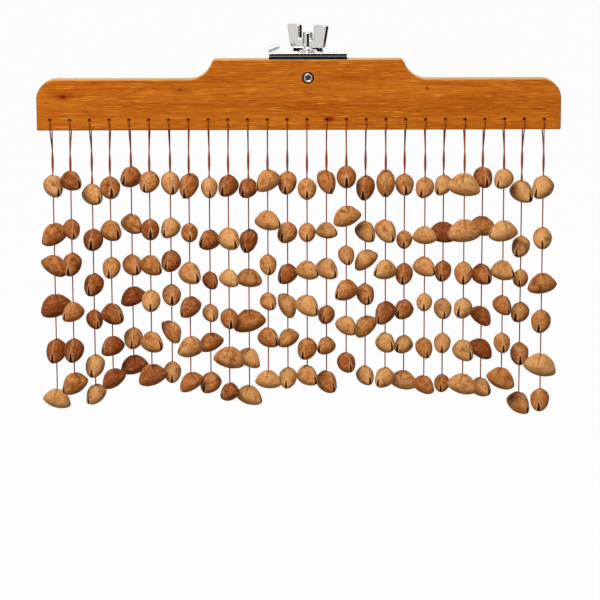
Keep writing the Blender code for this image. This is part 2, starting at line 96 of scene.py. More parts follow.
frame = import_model()
CAD_LOW, CAD_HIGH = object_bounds()
JOINTS = {joint["child"]: Vector(joint["pos_m"]) for joint in frame["joints"]}
MANTLE_LOW, MANTLE_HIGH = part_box("mantle")
BRACKET_LOW, BRACKET_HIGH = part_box("bracket")
PAD_LOW, PAD_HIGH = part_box("rubber_pad")
WASHER_LOW, WASHER_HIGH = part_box("washer")
BOLT_LOW, BOLT_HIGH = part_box("wing_bolt")
NUT_LOW, NUT_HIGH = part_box("barrel_nut")
PIN_LOW, PIN_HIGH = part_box("stop_pin")
MIDDLE_Y = (MANTLE_LOW.y + MANTLE_HIGH.y) / 2
STRAND_COUNT = sum(name.startswith("shell_strand_") for name in frame["nodes"])

# Each strand from left to right, and its six shells from the top down: drop below the mantle in
# millimetres, the way the lower tip points (0 to the viewer, 90 to the right) and how far it dips,
# in degrees, size as a percentage of the usual one, and shade from 1, light tan, to 9, red brown.
STRANDS = (
    ((56, 30, 20, 95, 2), (104, -60, 25, 95, 6), (135, 75, 30, 90, 6),
     (175, -80, 20, 105, 9), (220, -15, 25, 100, 8), (269, 80, 15, 90, 2)),
    ((49, 45, 5, 90, 8), (96, 15, 20, 85, 7), (130, -15, 25, 95, 7),
     (178, -40, 10, 90, 5), (216, -10, 20, 100, 9), (249, -55, 20, 95, 5)),
    ((65, 35, 10, 95, 2), (110, -5, 10, 100, 8), (154, -20, 20, 95, 8),
     (189, 20, 15, 85, 9), (235, -15, 25, 95, 2), (264, -40, 25, 85, 2)),
    ((56, 10, 10, 100, 6), (98, 35, 5, 95, 5), (134, -10, 20, 90, 4),
     (180, 45, 5, 95, 8), (212, -45, 10, 90, 9), (244, -65, 30, 85, 9)),
    ((48, -30, 5, 95, 7), (94, 45, 15, 90, 5), (135, 25, 10, 95, 4),
     (166, -70, 20, 85, 9), (208, -5, 15, 95, 4), (235, -80, 15, 90, 9)),
    ((50, -20, 15, 95, 4), (97, 5, 10, 95, 8), (132, 50, 10, 90, 6),
     (167, 0, 15, 95, 2), (208, 45, 5, 95, 4), (241, -80, 20, 95, 7)),
    ((53, 15, 25, 95, 2), (98, -30, 15, 90, 2), (131, -20, 5, 95, 7),
     (165, 5, 10, 95, 4), (201, 60, 50, 85, 4), (242, 0, 20, 90, 2)),
    ((53, -25, 40, 95, 6), (100, 5, 10, 85, 6), (140, 35, 10, 100, 3),
     (173, -40, 20, 90, 8), (213, -55, 5, 95, 3), (248, -75, 30, 85, 6)),
    ((58, 5, 25, 85, 2), (110, -40, 5, 90, 7), (150, 30, 20, 75, 8),
     (183, 20, 10, 80, 2), (212, -70, 20, 85, 6), (253, -30, 10, 95, 5)),
    ((54, -25, 15, 95, 9), (106, 30, 10, 100, 2), (145, 45, 10, 80, 1),
     (185, 10, 15, 90, 6), (224, 85, 10, 100, 4), (258, -40, 5, 80, 8)),
    ((59, -25, 10, 90, 8), (110, -20, 40, 90, 9), (148, 85, 5, 85, 4),
     (191, -85, 15, 105, 6), (228, 60, 25, 85, 2), (266, 70, 15, 90, 2)),
    ((49, -50, 20, 95, 4), (88, 60, 5, 90, 3), (131, 10, 25, 85, 4),
     (168, 25, 10, 80, 4), (204, 40, 10, 90, 6), (246, 80, 5, 85, 2)),
    ((53, -10, 25, 95, 5), (103, -25, 10, 95, 4), (144, -35, 15, 90, 8),
     (175, 60, 60, 85, 3), (208, -55, 20, 80, 4), (248, -10, 20, 90, 1)),
    ((57, 0, 15, 95, 4), (100, 0, 10, 85, 4), (137, 55, 5, 85, 3),
     (172, 45, 15, 95, 2), (215, -20, 15, 95, 6), (242, 40, 10, 90, 3)),
    ((52, 30, 40, 90, 5), (101, 60, 0, 75, 3), (139, 40, 10, 95, 2),
     (185, -15, 10, 85, 6), (216, -40, 5, 80, 4), (252, 35, 20, 95, 6)),
    ((46, 0, 10, 100, 6), (84, -80, 20, 90, 4), (122, 15, 25, 80, 4),
     (157, -45, 10, 95, 5), (192, 45, 15, 85, 3), (229, 20, 10, 90, 8)),
    ((58, -15, 40, 95, 7), (102, 35, 20, 90, 3), (130, -75, 35, 85, 3),
     (164, 15, 20, 90, 5), (196, -70, 40, 85, 4), (246, 25, 15, 85, 2)),
    ((51, -5, 60, 95, 5), (98, 35, 25, 95, 3), (137, -50, 0, 90, 3),
     (179, -35, 25, 95, 8), (209, 30, 5, 90, 3), (244, -35, 10, 90, 2)),
    ((56, 5, 15, 95, 4), (110, -5, 15, 80, 4), (144, -10, 20, 90, 6),
     (180, -30, 10, 90, 6), (215, -35, 5, 85, 3), (251, 75, 10, 90, 3)),
    ((56, -20, 15, 90, 4), (103, 70, 0, 80, 3), (134, 45, 10, 90, 3),
     (169, -5, 10, 80, 2), (214, 15, 25, 85, 5), (251, 60, 20, 80, 6)),
    ((56, -35, 25, 85, 2), (103, 85, 5, 95, 9), (141, -15, 25, 85, 6),
     (179, 5, 15, 90, 2), (213, -5, 20, 85, 2), (254, -10, 10, 80, 6)),
    ((54, 85, 10, 105, 2), (99, -85, 5, 105, 3), (140, -5, 20, 95, 4),
     (175, -25, 5, 90, 2), (217, 30, 10, 95, 2), (251, 80, 15, 95, 3)),
    ((49, 15, 10, 95, 7), (97, 80, 5, 90, 5), (145, 30, 10, 95, 7),
     (186, 65, 35, 80, 8), (219, 70, 30, 85, 9), (258, 40, 5, 85, 3)),
    ((48, -30, 10, 90, 2), (99, -70, 5, 95, 2), (138, 50, 5, 90, 3),
     (172, 30, 20, 85, 6), (209, 5, 20, 85, 4), (245, 65, 20, 95, 5)),
    ((63, 35, 15, 100, 2), (117, -25, 20, 90, 2), (149, -10, 10, 80, 4),
     (183, -25, 10, 90, 4), (224, 0, 20, 95, 5), (274, 40, 20, 95, 4)),
    ((56, -35, 15, 100, 2), (106, -5, 15, 95, 2), (151, -80, 10, 95, 5),
     (188, -15, 15, 100, 5), (232, 80, 15, 105, 2), (266, -10, 20, 95, 5)),
)

# The dips, in degrees, that shell forms are made for, and how many forms each has
DIP_FORMS = (5, 12, 20, 30, 50)
FORMS_PER_DIP = 3

# Angles in degrees from which an edge is drawn sharp
WOOD_CREASE = 28
METAL_CREASE = 35
CORD_CREASE = 60

# Lengths in metres and colours that several pieces share
BORE_CLEARANCE = 0.0004
POCKET_CLEARANCE = 0.0011
EDGE_OF_WINGS = 0.0012
# Near black: the painted shade in the cord holes, and the colour of one black dot on the front.
BORE_SHADE_AND_BLACK_DOT = (0.004, 0.002, 0.001)
WHITE = (1.0, 1.0, 1.0)


def length_setting(name, description, default):
    return FloatProperty(name=name, description=description, default=default, unit="LENGTH")


def angle_setting(name, description, degrees):
    return FloatProperty(name=name, description=description, default=math.radians(degrees), subtype="ANGLE")


def colour_setting(name, description, default):
    return FloatVectorProperty(name=name, description=description, default=default, subtype="COLOR")


def plain_setting(name, description, default):
    return FloatProperty(name=name, description=description, default=default)


class ChimeWood(bpy.types.PropertyGroup):
    """The mantle's outline and its varnished wood."""

    wing_height: length_setting("Wing Height", "Height of the bar beside its raised middle", 0.049)
    raised_width: length_setting("Raised Width", "Width of the raised middle", 0.1837)
    shoulder_radius: length_setting("Shoulder Radius", "Hollow between wing and raised middle", 0.0231)
    end_radius: length_setting("End Radius", "Radius of the two upper corners", 0.019)
    edge_radius: length_setting("Edge Radius", "Rounding of all long edges", 0.0012)
    hole_diameter: length_setting("Hole Diameter", "Diameter of the cord holes at the faces", 0.003)
    hole_waist: length_setting("Hole Waist", "Diameter of the cord holes half way through", 0.0015)
    hole_height: length_setting("Hole Height", "Cord holes above the lower edge", 0.0100)
    hole_slope: angle_setting("Hole Slope", "Rise of the cord holes to both faces", 4.5)
    light: colour_setting("Light Grain", "Colour of the pale grain", (0.60, 0.175, 0.012))
    dark: colour_setting("Dark Grain", "Colour of the dark grain", (0.38, 0.075, 0.004))
    fleck: colour_setting("Flecks", "Colour of the pale flecks", (0.78, 0.30, 0.030))
    pore: colour_setting("Pores", "Colour of the fine pores", (0.20, 0.035, 0.004))
    knot: colour_setting("Knots", "Colour of the small knots", (0.20, 0.006, 0.003))
    # The upper edge colour is a painted highlight: the faces that look up are made paler, as if lit from
    # above.
    crown: colour_setting("Upper Edge", "Colour of the worn upper edge", (0.74, 0.38, 0.08))


class ChimeMetal(bpy.types.PropertyGroup):
    """The polished bracket, bolt and nut."""

    bend_radius: length_setting("Bend Radius", "Outer radius of the bracket's bend", 0.0045)
    plate_thickness: length_setting("Plate Thickness", "Thickness of the bracket", 0.003)
    edge_radius: length_setting("Edge Radius", "Rounding of the metal edges", 0.0006)
    wing_turn: angle_setting("Wing Turn", "How the wings stand at rest", -35)
    hub_diameter: length_setting("Hub Diameter", "Diameter of the wing bolt's hub", 0.0098)
    hub_height: length_setting("Hub Height", "Height of the wing bolt's hub", 0.0185)
    collar_diameter: length_setting("Collar Diameter", "Diameter of the collar under the hub", 0.0125)
    wing_span: length_setting("Wing Span", "From tip to tip of the two wings", 0.045)
    wing_thickness: length_setting("Wing Thickness", "Thickness of a wing", 0.0062)
    foot_span: length_setting("Foot Span", "Length of the bar under the wings", 0.0295)
    foot_depth: length_setting("Foot Depth", "Depth of the bar under the wings", 0.0068)
    foot_height: length_setting("Foot Height", "Top of the bar above the washer", 0.0042)
    bolt_diameter: length_setting("Bolt Diameter", "Diameter of the shank", 0.006)
    chrome: colour_setting("Chrome", "Colour of the polished metal", (0.68, 0.655, 0.63))
    rubber: colour_setting("Rubber", "Colour of the pad", (0.006, 0.006, 0.007))


class ChimeShells(bpy.types.PropertyGroup):
    """The hollow nut shells."""

    length: length_setting("Length", "From tip to tip of a usual shell", 0.0325)
    thickness: length_setting("Thickness", "Across a usual shell", 0.0193)
    height: length_setting("Height", "Height of a usual shell", 0.0218)
    droop: length_setting("Droop", "How far the tips hang below the middle", 0.003)
    slit_width: length_setting("Slit Width", "Usual width of the slit at a tip", 0.0027)
    ridge: length_setting("Ridge", "Height of the ridge above a slit", 0.0004)
    taper: plain_setting("Taper", "How fast a shell narrows to its tips", 0.72)
    facet: plain_setting("Facet", "How flat the two sides of the ridge are", 0.55)
    sides: IntProperty(name="Sides", description="Points round a shell", default=40)
    rings: IntProperty(name="Rings", description="Rings along a shell", default=36)
    light: colour_setting("Light Shell", "Colour of the palest shells", (0.68, 0.345, 0.118))
    middle: colour_setting("Middle Shell", "Colour of most shells", (0.47, 0.155, 0.036))
    dark: colour_setting("Dark Shell", "Colour of the darkest shells", (0.245, 0.054, 0.011))
    # The lip colour is also used for the pale scuffs and for the paler ridges, which are partly a painted
    # highlight.
    lip: colour_setting("Slit Lips", "Colour of the worn slit edges", (0.62, 0.37, 0.17))


class ChimeCords(bpy.types.PropertyGroup):
    """The waxed cords."""

    diameter: length_setting("Diameter", "Thickness of a cord", 0.0012)
    bend: length_setting("Bend", "Radius of a cord's bends at its hole", 0.0024)
    twist: length_setting("Twist", "Length of one turn of the doubled cord", 0.045)
    step: length_setting("Step", "Distance between the rings of a cord", 0.0012)
    lay: length_setting("Lay", "Length of one twist of the two plies", 0.0024)
    colour: colour_setting("Cord", "Colour of the cord", (0.37, 0.082, 0.026))


class ChimeStage(bpy.types.PropertyGroup):
    """Camera, light and floor."""

    distance: length_setting("Camera Distance", "From the camera to its aim", 2.4)
    elevation: angle_setting("Camera Elevation", "Angle of the view from above", 10.5)
    roll: angle_setting("Camera Roll", "Turn of the picture", 0.14)
    lens: plain_setting("Lens", "Focal length in millimetres", 146.9)
    aim: FloatVectorProperty(
        name="Camera Aim",
        description="Point in the middle of the picture",
        default=(-0.0082, -0.0128, -0.2241),
        subtype="TRANSLATION",
    )
    floor_drop: length_setting("Floor Drop", "Floor below the lowest shell", 0.45)
    key_power: plain_setting("Key Light", "Power of the large soft light", 93.0)
    fill_power: plain_setting("Fill Light", "Power of the side light", 4.0)
    sky: plain_setting("Sky", "Strength of the even light all round", 0.04)


class Graph:
    """Adds nodes to a node tree and joins them by their sockets."""

    def __init__(self, tree):
        self.tree = tree

    def add(self, kind, inputs=None, **settings):
        node = self.tree.nodes.new(kind)
        for name, value in settings.items():
            setattr(node, name, value)
        for key, value in (inputs or {}).items():
            self.feed(node.inputs[key], value)
        return node

    def out(self, kind, inputs=None, **settings):
        """The first output of a new node."""
        return self.add(kind, inputs, **settings).outputs[0]

    def feed(self, socket, value):
        if isinstance(value, bpy.types.NodeSocket):
            self.tree.links.new(value, socket)
        else:
            socket.default_value = value

    def math(self, operation, first, second=0.0, clamp=False):
        return self.out("ShaderNodeMath", {0: first, 1: second}, operation=operation, use_clamp=clamp)

    def times(self, first, second):
        return self.math("MULTIPLY", first, second)

    def plus(self, base, mark, share, clamp=False):
        """A base value with a share of a mark added."""
        return self.math("ADD", base, self.times(mark, share), clamp)

    def mix(self, factor, first, second):
        node = self.add("ShaderNodeMix", {0: factor, 6: first, 7: second}, data_type="RGBA")
        return node.outputs[2]

    def ramp(self, factor, *stops):
        """A colour, or a grey from one number, for each stop of (position, colour)."""
        node = self.add("ShaderNodeValToRGB", {0: factor})
        elements = node.color_ramp.elements
        while len(elements) < len(stops):
            elements.new(1.0)
        for element, (position, colour) in zip(elements, stops):
            element.position = position
            element.color = colour if hasattr(colour, "__len__") else (colour, colour, colour, 1.0)
        return node.outputs[0]

    def span(self, value, low, high, at_low, at_high):
        """A value that goes from at_low to at_high while the given one goes from low to high."""
        ends = {"From Min": low, "From Max": high, "To Min": at_low, "To Max": at_high}
        return self.out("ShaderNodeMapRange", {"Value": value, **ends})

    def noise(self, vector, size, detail=2.0, roughness=0.5):
        """Noise with one size for all ways or with one each for X, Y and Z, in marks per metre."""
        scale, stretch = (1.0, size) if hasattr(size, "__len__") else (size, (1.0, 1.0, 1.0))
        place = self.out("ShaderNodeMapping", {"Vector": vector, "Scale": stretch})
        settings = {"Vector": place, "Scale": scale, "Detail": detail, "Roughness": roughness}
        return self.out("ShaderNodeTexNoise", settings)

    def attribute(self, name, output="Fac"):
        return self.add("ShaderNodeAttribute", attribute_name=name).outputs[output]

    def object_point(self):
        return self.add("ShaderNodeTexCoord").outputs["Object"]

    def bump(self, shader, height, strength, distance):
        settings = {"Height": height, "Strength": strength, "Distance": distance}
        self.feed(shader.inputs["Normal"], self.out("ShaderNodeBump", settings))


def solid(colour, share=1.0):
    """A colour as a node takes it, made darker or paler by a share."""
    return (*(share * part for part in colour), 1.0)


def new_material(name, roughness, metallic=0.0, specular=0.5):
    """A material with its shader, and the graph to add to it."""
    material = bpy.data.materials.new(name)
    material.use_nodes = True
    shader = material.node_tree.nodes["Principled BSDF"]
    shader.inputs["Roughness"].default_value = roughness
    shader.inputs["Metallic"].default_value = metallic
    shader.inputs["Specular IOR Level"].default_value = specular
    return material, shader, Graph(material.node_tree)


def wood_material(wood):
    """Varnished wood with grain along X, pale flecks, short pores, a few knots, painted shade in the cord
    holes and a painted highlight on the upper edge.
    """
    material, shader, graph = new_material("varnished_wood", 0.34)
    point = graph.object_point()
    band = graph.noise(point, (3.2, 70.0, 70.0), 3.0, 0.5)
    fibre = graph.noise(point, (16.0, 480.0, 480.0), 5.0, 0.66)
    thread = graph.noise(point, (30.0, 1300.0, 1300.0), 3.0, 0.6)
    grain = graph.times(band, 0.28)
    for mark, share in ((fibre, 0.47), (thread, 0.25)):
        grain = graph.plus(grain, mark, share)
    grain = graph.ramp(grain, (0.38, 0.0), (0.62, 1.0))
    colour = graph.mix(grain, solid(wood.dark), solid(wood.light))
    fleck = graph.ramp(graph.noise(point, (45.0, 900.0, 900.0)), (0.56, 0.0), (0.70, 0.8))
    colour = graph.mix(fleck, colour, solid(wood.fleck))
    aside = graph.out("ShaderNodeMapping", {"Vector": point, "Location": (3.0, 1.0, 2.0)})
    pore = graph.ramp(graph.noise(aside, (110.0, 1500.0, 1500.0)), (0.60, 0.0), (0.70, 0.8))
    colour = graph.mix(pore, colour, solid(wood.pore))
    for x, height, reach, depth, stretch, tint in wood_knots(wood):
        place = (-x, 0.0, -MANTLE_LOW.z - height)
        place = graph.out("ShaderNodeMapping", {"Vector": point, "Location": place})
        place = graph.out("ShaderNodeMapping", {"Vector": place, "Scale": (1 / stretch, 0.0, 1.0)})
        away = graph.add("ShaderNodeVectorMath", {0: place}, operation="LENGTH").outputs["Value"]
        colour = graph.mix(graph.span(away, 0.3 * reach, reach, depth, 0.0), colour, solid(tint))
    # Painted highlight: faces that look up take the paler upper edge colour, as if lit from above.
    crown = graph.times(graph.attribute("crown"), graph.plus(0.65, grain, 0.35))
    colour = graph.mix(crown, colour, solid(wood.crown))
    # Painted shade: the walls of the cord holes are made near black.
    bore = graph.attribute("bore")
    colour = graph.mix(bore, colour, solid(BORE_SHADE_AND_BLACK_DOT))
    graph.feed(shader.inputs["Base Color"], colour)
    graph.feed(shader.inputs["Roughness"], graph.plus(0.32, pore, 0.25))
    varnish = graph.times(graph.math("SUBTRACT", 1.0, bore), 0.06)
    graph.feed(shader.inputs["Specular IOR Level"], varnish)
    graph.bump(shader, graph.math("SUBTRACT", fibre, pore), 0.15, 0.0003)
    return material


def wood_knots(wood):
    """The marks on the front: x, height over the foot, size, strength, stretch along X and colour."""
    return (
        (-0.236, 0.0325, 0.0052, 0.5, 2.6, wood.knot),
        (-0.236, 0.0325, 0.0024, 0.9, 1.9, wood.knot),
        (-0.1233, 0.0392, 0.0016, 1.0, 1.2, BORE_SHADE_AND_BLACK_DOT),
        (-0.1233, 0.0392, 0.0050, 0.35, 3.0, wood.pore),
        (0.1146, 0.0400, 0.0018, 1.0, 1.3, wood.knot),
        (0.0202, 0.0105, 0.0030, 0.9, 2.6, wood.knot),
        (-0.252, 0.0270, 0.0009, 0.8, 4.0, wood.pore),
        (0.196, 0.0180, 0.0010, 0.8, 2.0, wood.pore),
    )


def chrome_material(name, colour, roughness):
    """Polished metal with faint rubbing marks."""
    material, shader, graph = new_material(name, roughness, 1.0)
    point = graph.object_point()
    worn = graph.noise(point, 220.0, 3.0, 0.6)
    tint = graph.ramp(worn, (0.3, solid(colour, 0.94)), (0.7, solid(colour)))
    graph.feed(shader.inputs["Base Color"], tint)
    marks = graph.noise(point, (500.0, 2600.0, 900.0))
    graph.feed(shader.inputs["Roughness"], graph.plus(roughness, marks, 0.05))
    return material


def rubber_material(metal):
    """Matt black rubber with a fine grit."""
    material, shader, graph = new_material("pad_rubber", 0.75, specular=0.05)
    grit = graph.noise(graph.object_point(), 1800.0)
    colour = graph.mix(grit, solid(metal.rubber), solid(metal.rubber, 2.2))
    graph.feed(shader.inputs["Base Color"], colour)
    graph.bump(shader, grit, 0.25, 0.0002)
    return material


def shell_material(shells):
    """Dry nut shell: its shade, mottling and streaks along its length, pale slit lips and scuffs, paler
    ridges that are partly a painted highlight, and painted shade towards the bottom and in the slits and cord
    hole.
    """
    material, shader, graph = new_material("dry_nut_shell", 0.5, specular=0.05)
    own = graph.attribute("nut_point", "Vector")
    seed = graph.attribute("seed")
    apart = graph.out("ShaderNodeCombineXYZ", {"X": seed, "Y": graph.times(seed, 1.7)})
    point = graph.out("ShaderNodeVectorMath", {0: own, 1: apart}, operation="ADD")
    patch = graph.noise(point, 120.0, 3.0, 0.6)
    streak = graph.noise(point, (60.0, 400.0, 400.0), 3.0, 0.6)
    wrinkle = graph.noise(point, (190.0, 1100.0, 1100.0), 2.0, 0.55)
    speck = graph.noise(point, 1500.0, 2.0, 0.6)
    tone = graph.attribute("shade")
    for mark, share in ((patch, 0.95), (streak, 1.25), (wrinkle, 1.15), (speck, 0.50)):
        tone = graph.plus(tone, graph.math("SUBTRACT", mark, 0.5), share)
    stops = ((0.02, shells.light), (0.5, shells.middle), (0.98, shells.dark))
    colour = graph.ramp(tone, *((position, solid(tint)) for position, tint in stops))
    # Pale for the lips, the scuffs and the ridge highlight; dark for the stains, the seam and the painted
    # shade below.
    pale, dark_marks_and_shade = solid(shells.lip), solid(shells.dark, 0.3)
    scuff = graph.ramp(graph.noise(point, (50.0, 480.0, 480.0), 3.0, 0.6), (0.55, 0.0), (0.72, 0.55))
    stain = graph.ramp(graph.noise(point, 95.0), (0.58, 0.0), (0.72, 0.60))
    # Painted shade: the lower half of a shell grows darker towards the bottom.
    height = graph.add("ShaderNodeSeparateXYZ", {0: own}).outputs["Z"]
    under = graph.span(height, 0.0, -shells.height / 2, 0.0, 0.4)
    # Painted shade: the slits and the cord's hole are near black.
    mouth = graph.ramp(graph.attribute("mouth"), (0.3, 0.0), (0.5, 1.0))
    for share, tint in (
        # The paler ridge is partly a painted highlight.
        (graph.times(graph.attribute("crest"), 0.3), pale),
        (scuff, pale),
        (stain, dark_marks_and_shade),
        (graph.times(graph.attribute("seam"), 0.55), dark_marks_and_shade),
        (under, dark_marks_and_shade),
        (graph.times(graph.attribute("lip"), 0.45), pale),
        (mouth, (0.003, 0.002, 0.0015, 1.0)),
    ):
        colour = graph.mix(share, colour, tint)
    graph.feed(shader.inputs["Base Color"], colour)
    rough = graph.plus(graph.plus(0.42, patch, 0.2), mouth, 0.4, clamp=True)
    graph.feed(shader.inputs["Roughness"], rough)
    graph.bump(shader, graph.plus(graph.times(streak, 0.5), wrinkle, 0.5), 0.4, 0.0010)
    return material


def cord_material(cords):
    """Two waxed plies twisted together: slanting bands along the cord's own map, with painted shade in the
    grooves between the plies.
    """
    material, shader, graph = new_material("waxed_cord", 0.55, specular=0.04)
    place = graph.add("ShaderNodeTexCoord").outputs["UV"]
    parts = graph.add("ShaderNodeSeparateXYZ", {0: place}).outputs
    turn = graph.math("ADD", parts[0], parts[1])
    wave = graph.math("SINE", graph.times(turn, 4 * math.pi))
    ply = graph.math("ADD", graph.times(wave, 0.5), 0.5)
    fuzz = graph.noise(graph.object_point(), 1400.0, 3.0, 0.6)
    # Painted shade: the grooves between the plies are half as bright.
    raised = graph.ramp(ply, (0.1, 0.0), (0.6, 1.0))
    colour = graph.mix(raised, solid(cords.colour, 0.5), solid(cords.colour))
    colour = graph.mix(graph.times(fuzz, 0.5), colour, solid(cords.colour, 1.45))
    graph.feed(shader.inputs["Base Color"], colour)
    graph.bump(shader, ply, 0.9, 0.00025)
    return material


def plain_mesh(name, mesh):
    """A mesh from a bmesh, which is freed, with faces that all agree. Other data stays as it is."""
    if not isinstance(mesh, bmesh.types.BMesh):
        return mesh
    bmesh.ops.recalc_face_normals(mesh, faces=mesh.faces)
    data = bpy.data.meshes.new(name)
    mesh.to_mesh(data)
    mesh.free()
    return data


def new_object(name, data):
    """An object in the scene, from a mesh, a bmesh, a light or a camera."""
    item = bpy.data.objects.new(name, plain_mesh(name, data))
    bpy.context.scene.collection.objects.link(item)
    return item


def mark(mesh, name, kind, domain, values):
    """Gives every point or face of a mesh a value, under a name that materials and node trees can read."""
    field = "vector" if kind == "FLOAT_VECTOR" else "value"
    mesh.attributes.new(name, kind, domain).data.foreach_set(field, np.array(values).ravel())


def make_piece(name, mesh, material, body, node, crease=None, flat_faces=False):
    """A finished piece at the origin that moves with a body and stands for a CAD node."""
    mesh = plain_mesh(name, mesh)
    if crease is not None:
        mesh.shade_smooth()
        mesh.set_sharp_from_angle(angle=math.radians(crease))
    if flat_faces:
        mesh = with_flat_faces(mesh)
    mesh.materials.clear()
    mesh.materials.append(material)
    piece = new_object(name, mesh)
    if body:
        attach(piece, body)
    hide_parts(node)
    return piece


def baked(item):
    """The object's mesh with its modifiers applied. The object itself is removed."""
    bpy.context.view_layer.update()
    graph = bpy.context.evaluated_depsgraph_get()
    mesh = bpy.data.meshes.new_from_object(
        item.evaluated_get(graph), preserve_all_data_layers=True, depsgraph=graph
    )
    bpy.data.objects.remove(item)
    return mesh


def with_flat_faces(mesh):
    """The mesh with normals that keep its large flat faces flat up to their rounded rims."""
    item = new_object("flat_faces", mesh)
    item.modifiers.new("weighted_normals", "WEIGHTED_NORMAL").keep_sharp = True
    return baked(item)


def placed(place, turn=0.0, axis="X"):
    """A matrix that turns about an axis, in radians, and then moves to a place."""
    return Matrix.Translation(place) @ Matrix.Rotation(turn, 4, axis)


def arc(centre, radius, start, end, steps):
    """Points of an arc in a plane, angles in degrees."""
    turns = np.radians(np.linspace(start, end, steps + 1))
    return [(centre[0] + radius * math.cos(t), centre[1] + radius * math.sin(t)) for t in turns]


def rim(radius, height, edge, start, end):
    """Profile points of a rounded rim, angles in degrees, for a solid that is turned."""
    return arc((radius, height), edge, start, end, 4)


def prism(outline, depth, edge, to_world, steps=3):
    """A prism whose two flat ends have rounded rims."""
    mesh = bmesh.new()
    face = mesh.faces.new([mesh.verts.new((x, y, edge)) for x, y in outline])
    grown = bmesh.ops.extrude_face_region(mesh, geom=[face])
    raised = [v for v in grown["geom"] if isinstance(v, bmesh.types.BMVert)]
    bmesh.ops.translate(mesh, verts=raised, vec=(0.0, 0.0, depth - 2 * edge))
    bmesh.ops.recalc_face_normals(mesh, faces=mesh.faces)
    caps = [f for f in mesh.faces if abs(f.normal.z) > 0.9]
    for i in range(steps):
        low, high = (math.radians(90 * k / steps) for k in (i, i + 1))
        inward = edge * (math.cos(low) - math.cos(high))
        outward = edge * (math.sin(high) - math.sin(low))
        bmesh.ops.inset_individual(mesh, faces=caps, thickness=inward, depth=outward)
    mesh.transform(to_world)
    return mesh


def turned(profile, sides, to_world):
    """A solid turned about Z from a profile of (radius, height) that starts and ends on the axis."""
    mesh = bmesh.new()
    turns = [2 * math.pi * (i + 0.5) / sides for i in range(sides)]
    rings = []
    for radius, height in profile:
        if radius == 0.0:
            rings.append([mesh.verts.new((0.0, 0.0, height))] * sides)
            continue
        rings.append([mesh.verts.new((radius * math.cos(t), radius * math.sin(t), height)) for t in turns])
    for lower, upper in zip(rings, rings[1:]):
        for i in range(sides):
            j = (i + 1) % sides
            corners = dict.fromkeys((lower[i], lower[j], upper[j], upper[i]))
            if len(corners) > 2:
                mesh.faces.new(corners)
    mesh.transform(to_world)
    return mesh


def join(mesh, other):
    """Adds another closed mesh to a mesh."""
    data = plain_mesh("joined", other)
    mesh.from_mesh(data)
    bpy.data.meshes.remove(data)


def round_cutter(name, radius, low, high, sides, to_world):
    """A round helper to cut with, from one height to another about Z."""
    profile = [(0.0, low), (radius, low), (radius, high), (0.0, high)]
    return new_object(name, turned(profile, sides, to_world))


def new_tree(name, kinds):
    """A graph for a geometry node tree with these inputs, their sockets in it, and their keys by name."""
    tree = bpy.data.node_groups.new(name, "GeometryNodeTree")
    tree.interface.new_socket("Geometry", in_out="INPUT", socket_type="NodeSocketGeometry")
    keys = {}
    for label, kind in kinds.items():
        socket = tree.interface.new_socket(label, in_out="INPUT", socket_type=f"NodeSocket{kind}")
        keys[label] = socket.identifier
    tree.interface.new_socket("Geometry", in_out="OUTPUT", socket_type="NodeSocketGeometry")
    graph = Graph(tree)
    return graph, graph.add("NodeGroupInput").outputs, keys


def end_tree(graph, geometry, material):
    """Gives the geometry its material and puts it out."""
    done = graph.out("GeometryNodeSetMaterial", {"Geometry": geometry, "Material": material})
    graph.feed(graph.add("NodeGroupOutput").inputs[0], done)


def apply_tree(item, graph, keys, values):
    """Puts a geometry node tree on an object, with values for its inputs."""
    modifier = item.modifiers.new(graph.tree.name, "NODES")
    modifier.node_group = graph.tree
    for label, value in values.items():
        modifier[keys[label]] = value


def mantle_outline(wood):
    """The bar's front outline in X and Z, from its lower left corner round by the right."""
    left, right, foot, top = MANTLE_LOW.x, MANTLE_HIGH.x, MANTLE_LOW.z, MANTLE_HIGH.z
    half, hollow, end = wood.raised_width / 2, wood.shoulder_radius, wood.end_radius
    line = foot + wood.wing_height
    lean = math.degrees(math.acos((hollow - (top - line)) / hollow))
    run = hollow * math.sin(math.radians(lean))
    corner, low = 0.003, 0.0015
    return (
        arc((left + low, foot + low), low, 180, 270, 4)
        + arc((right - low, foot + low), low, -90, 0, 4)
        + arc((right - end, line - end), end, 0, 90, 16)
        + arc((half + run, line + hollow), hollow, 270, 270 - lean, 18)[:-2]
        + arc((half - corner, top - corner), corner, 20, 90, 5)
        + arc((corner - half, top - corner), corner, 90, 160, 5)
        + arc((-half - run, line + hollow), hollow, 270 + lean, 270, 18)[2:]
        + arc((left + end, line - end), end, 90, 180, 16)
    )


def cord_level(wood):
    """Height at which the cords pass through the mantle, in the waists of their holes."""
    half = (MANTLE_HIGH.y - MANTLE_LOW.y) / 2
    return MANTLE_LOW.z + wood.hole_height - half * math.tan(wood.hole_slope)


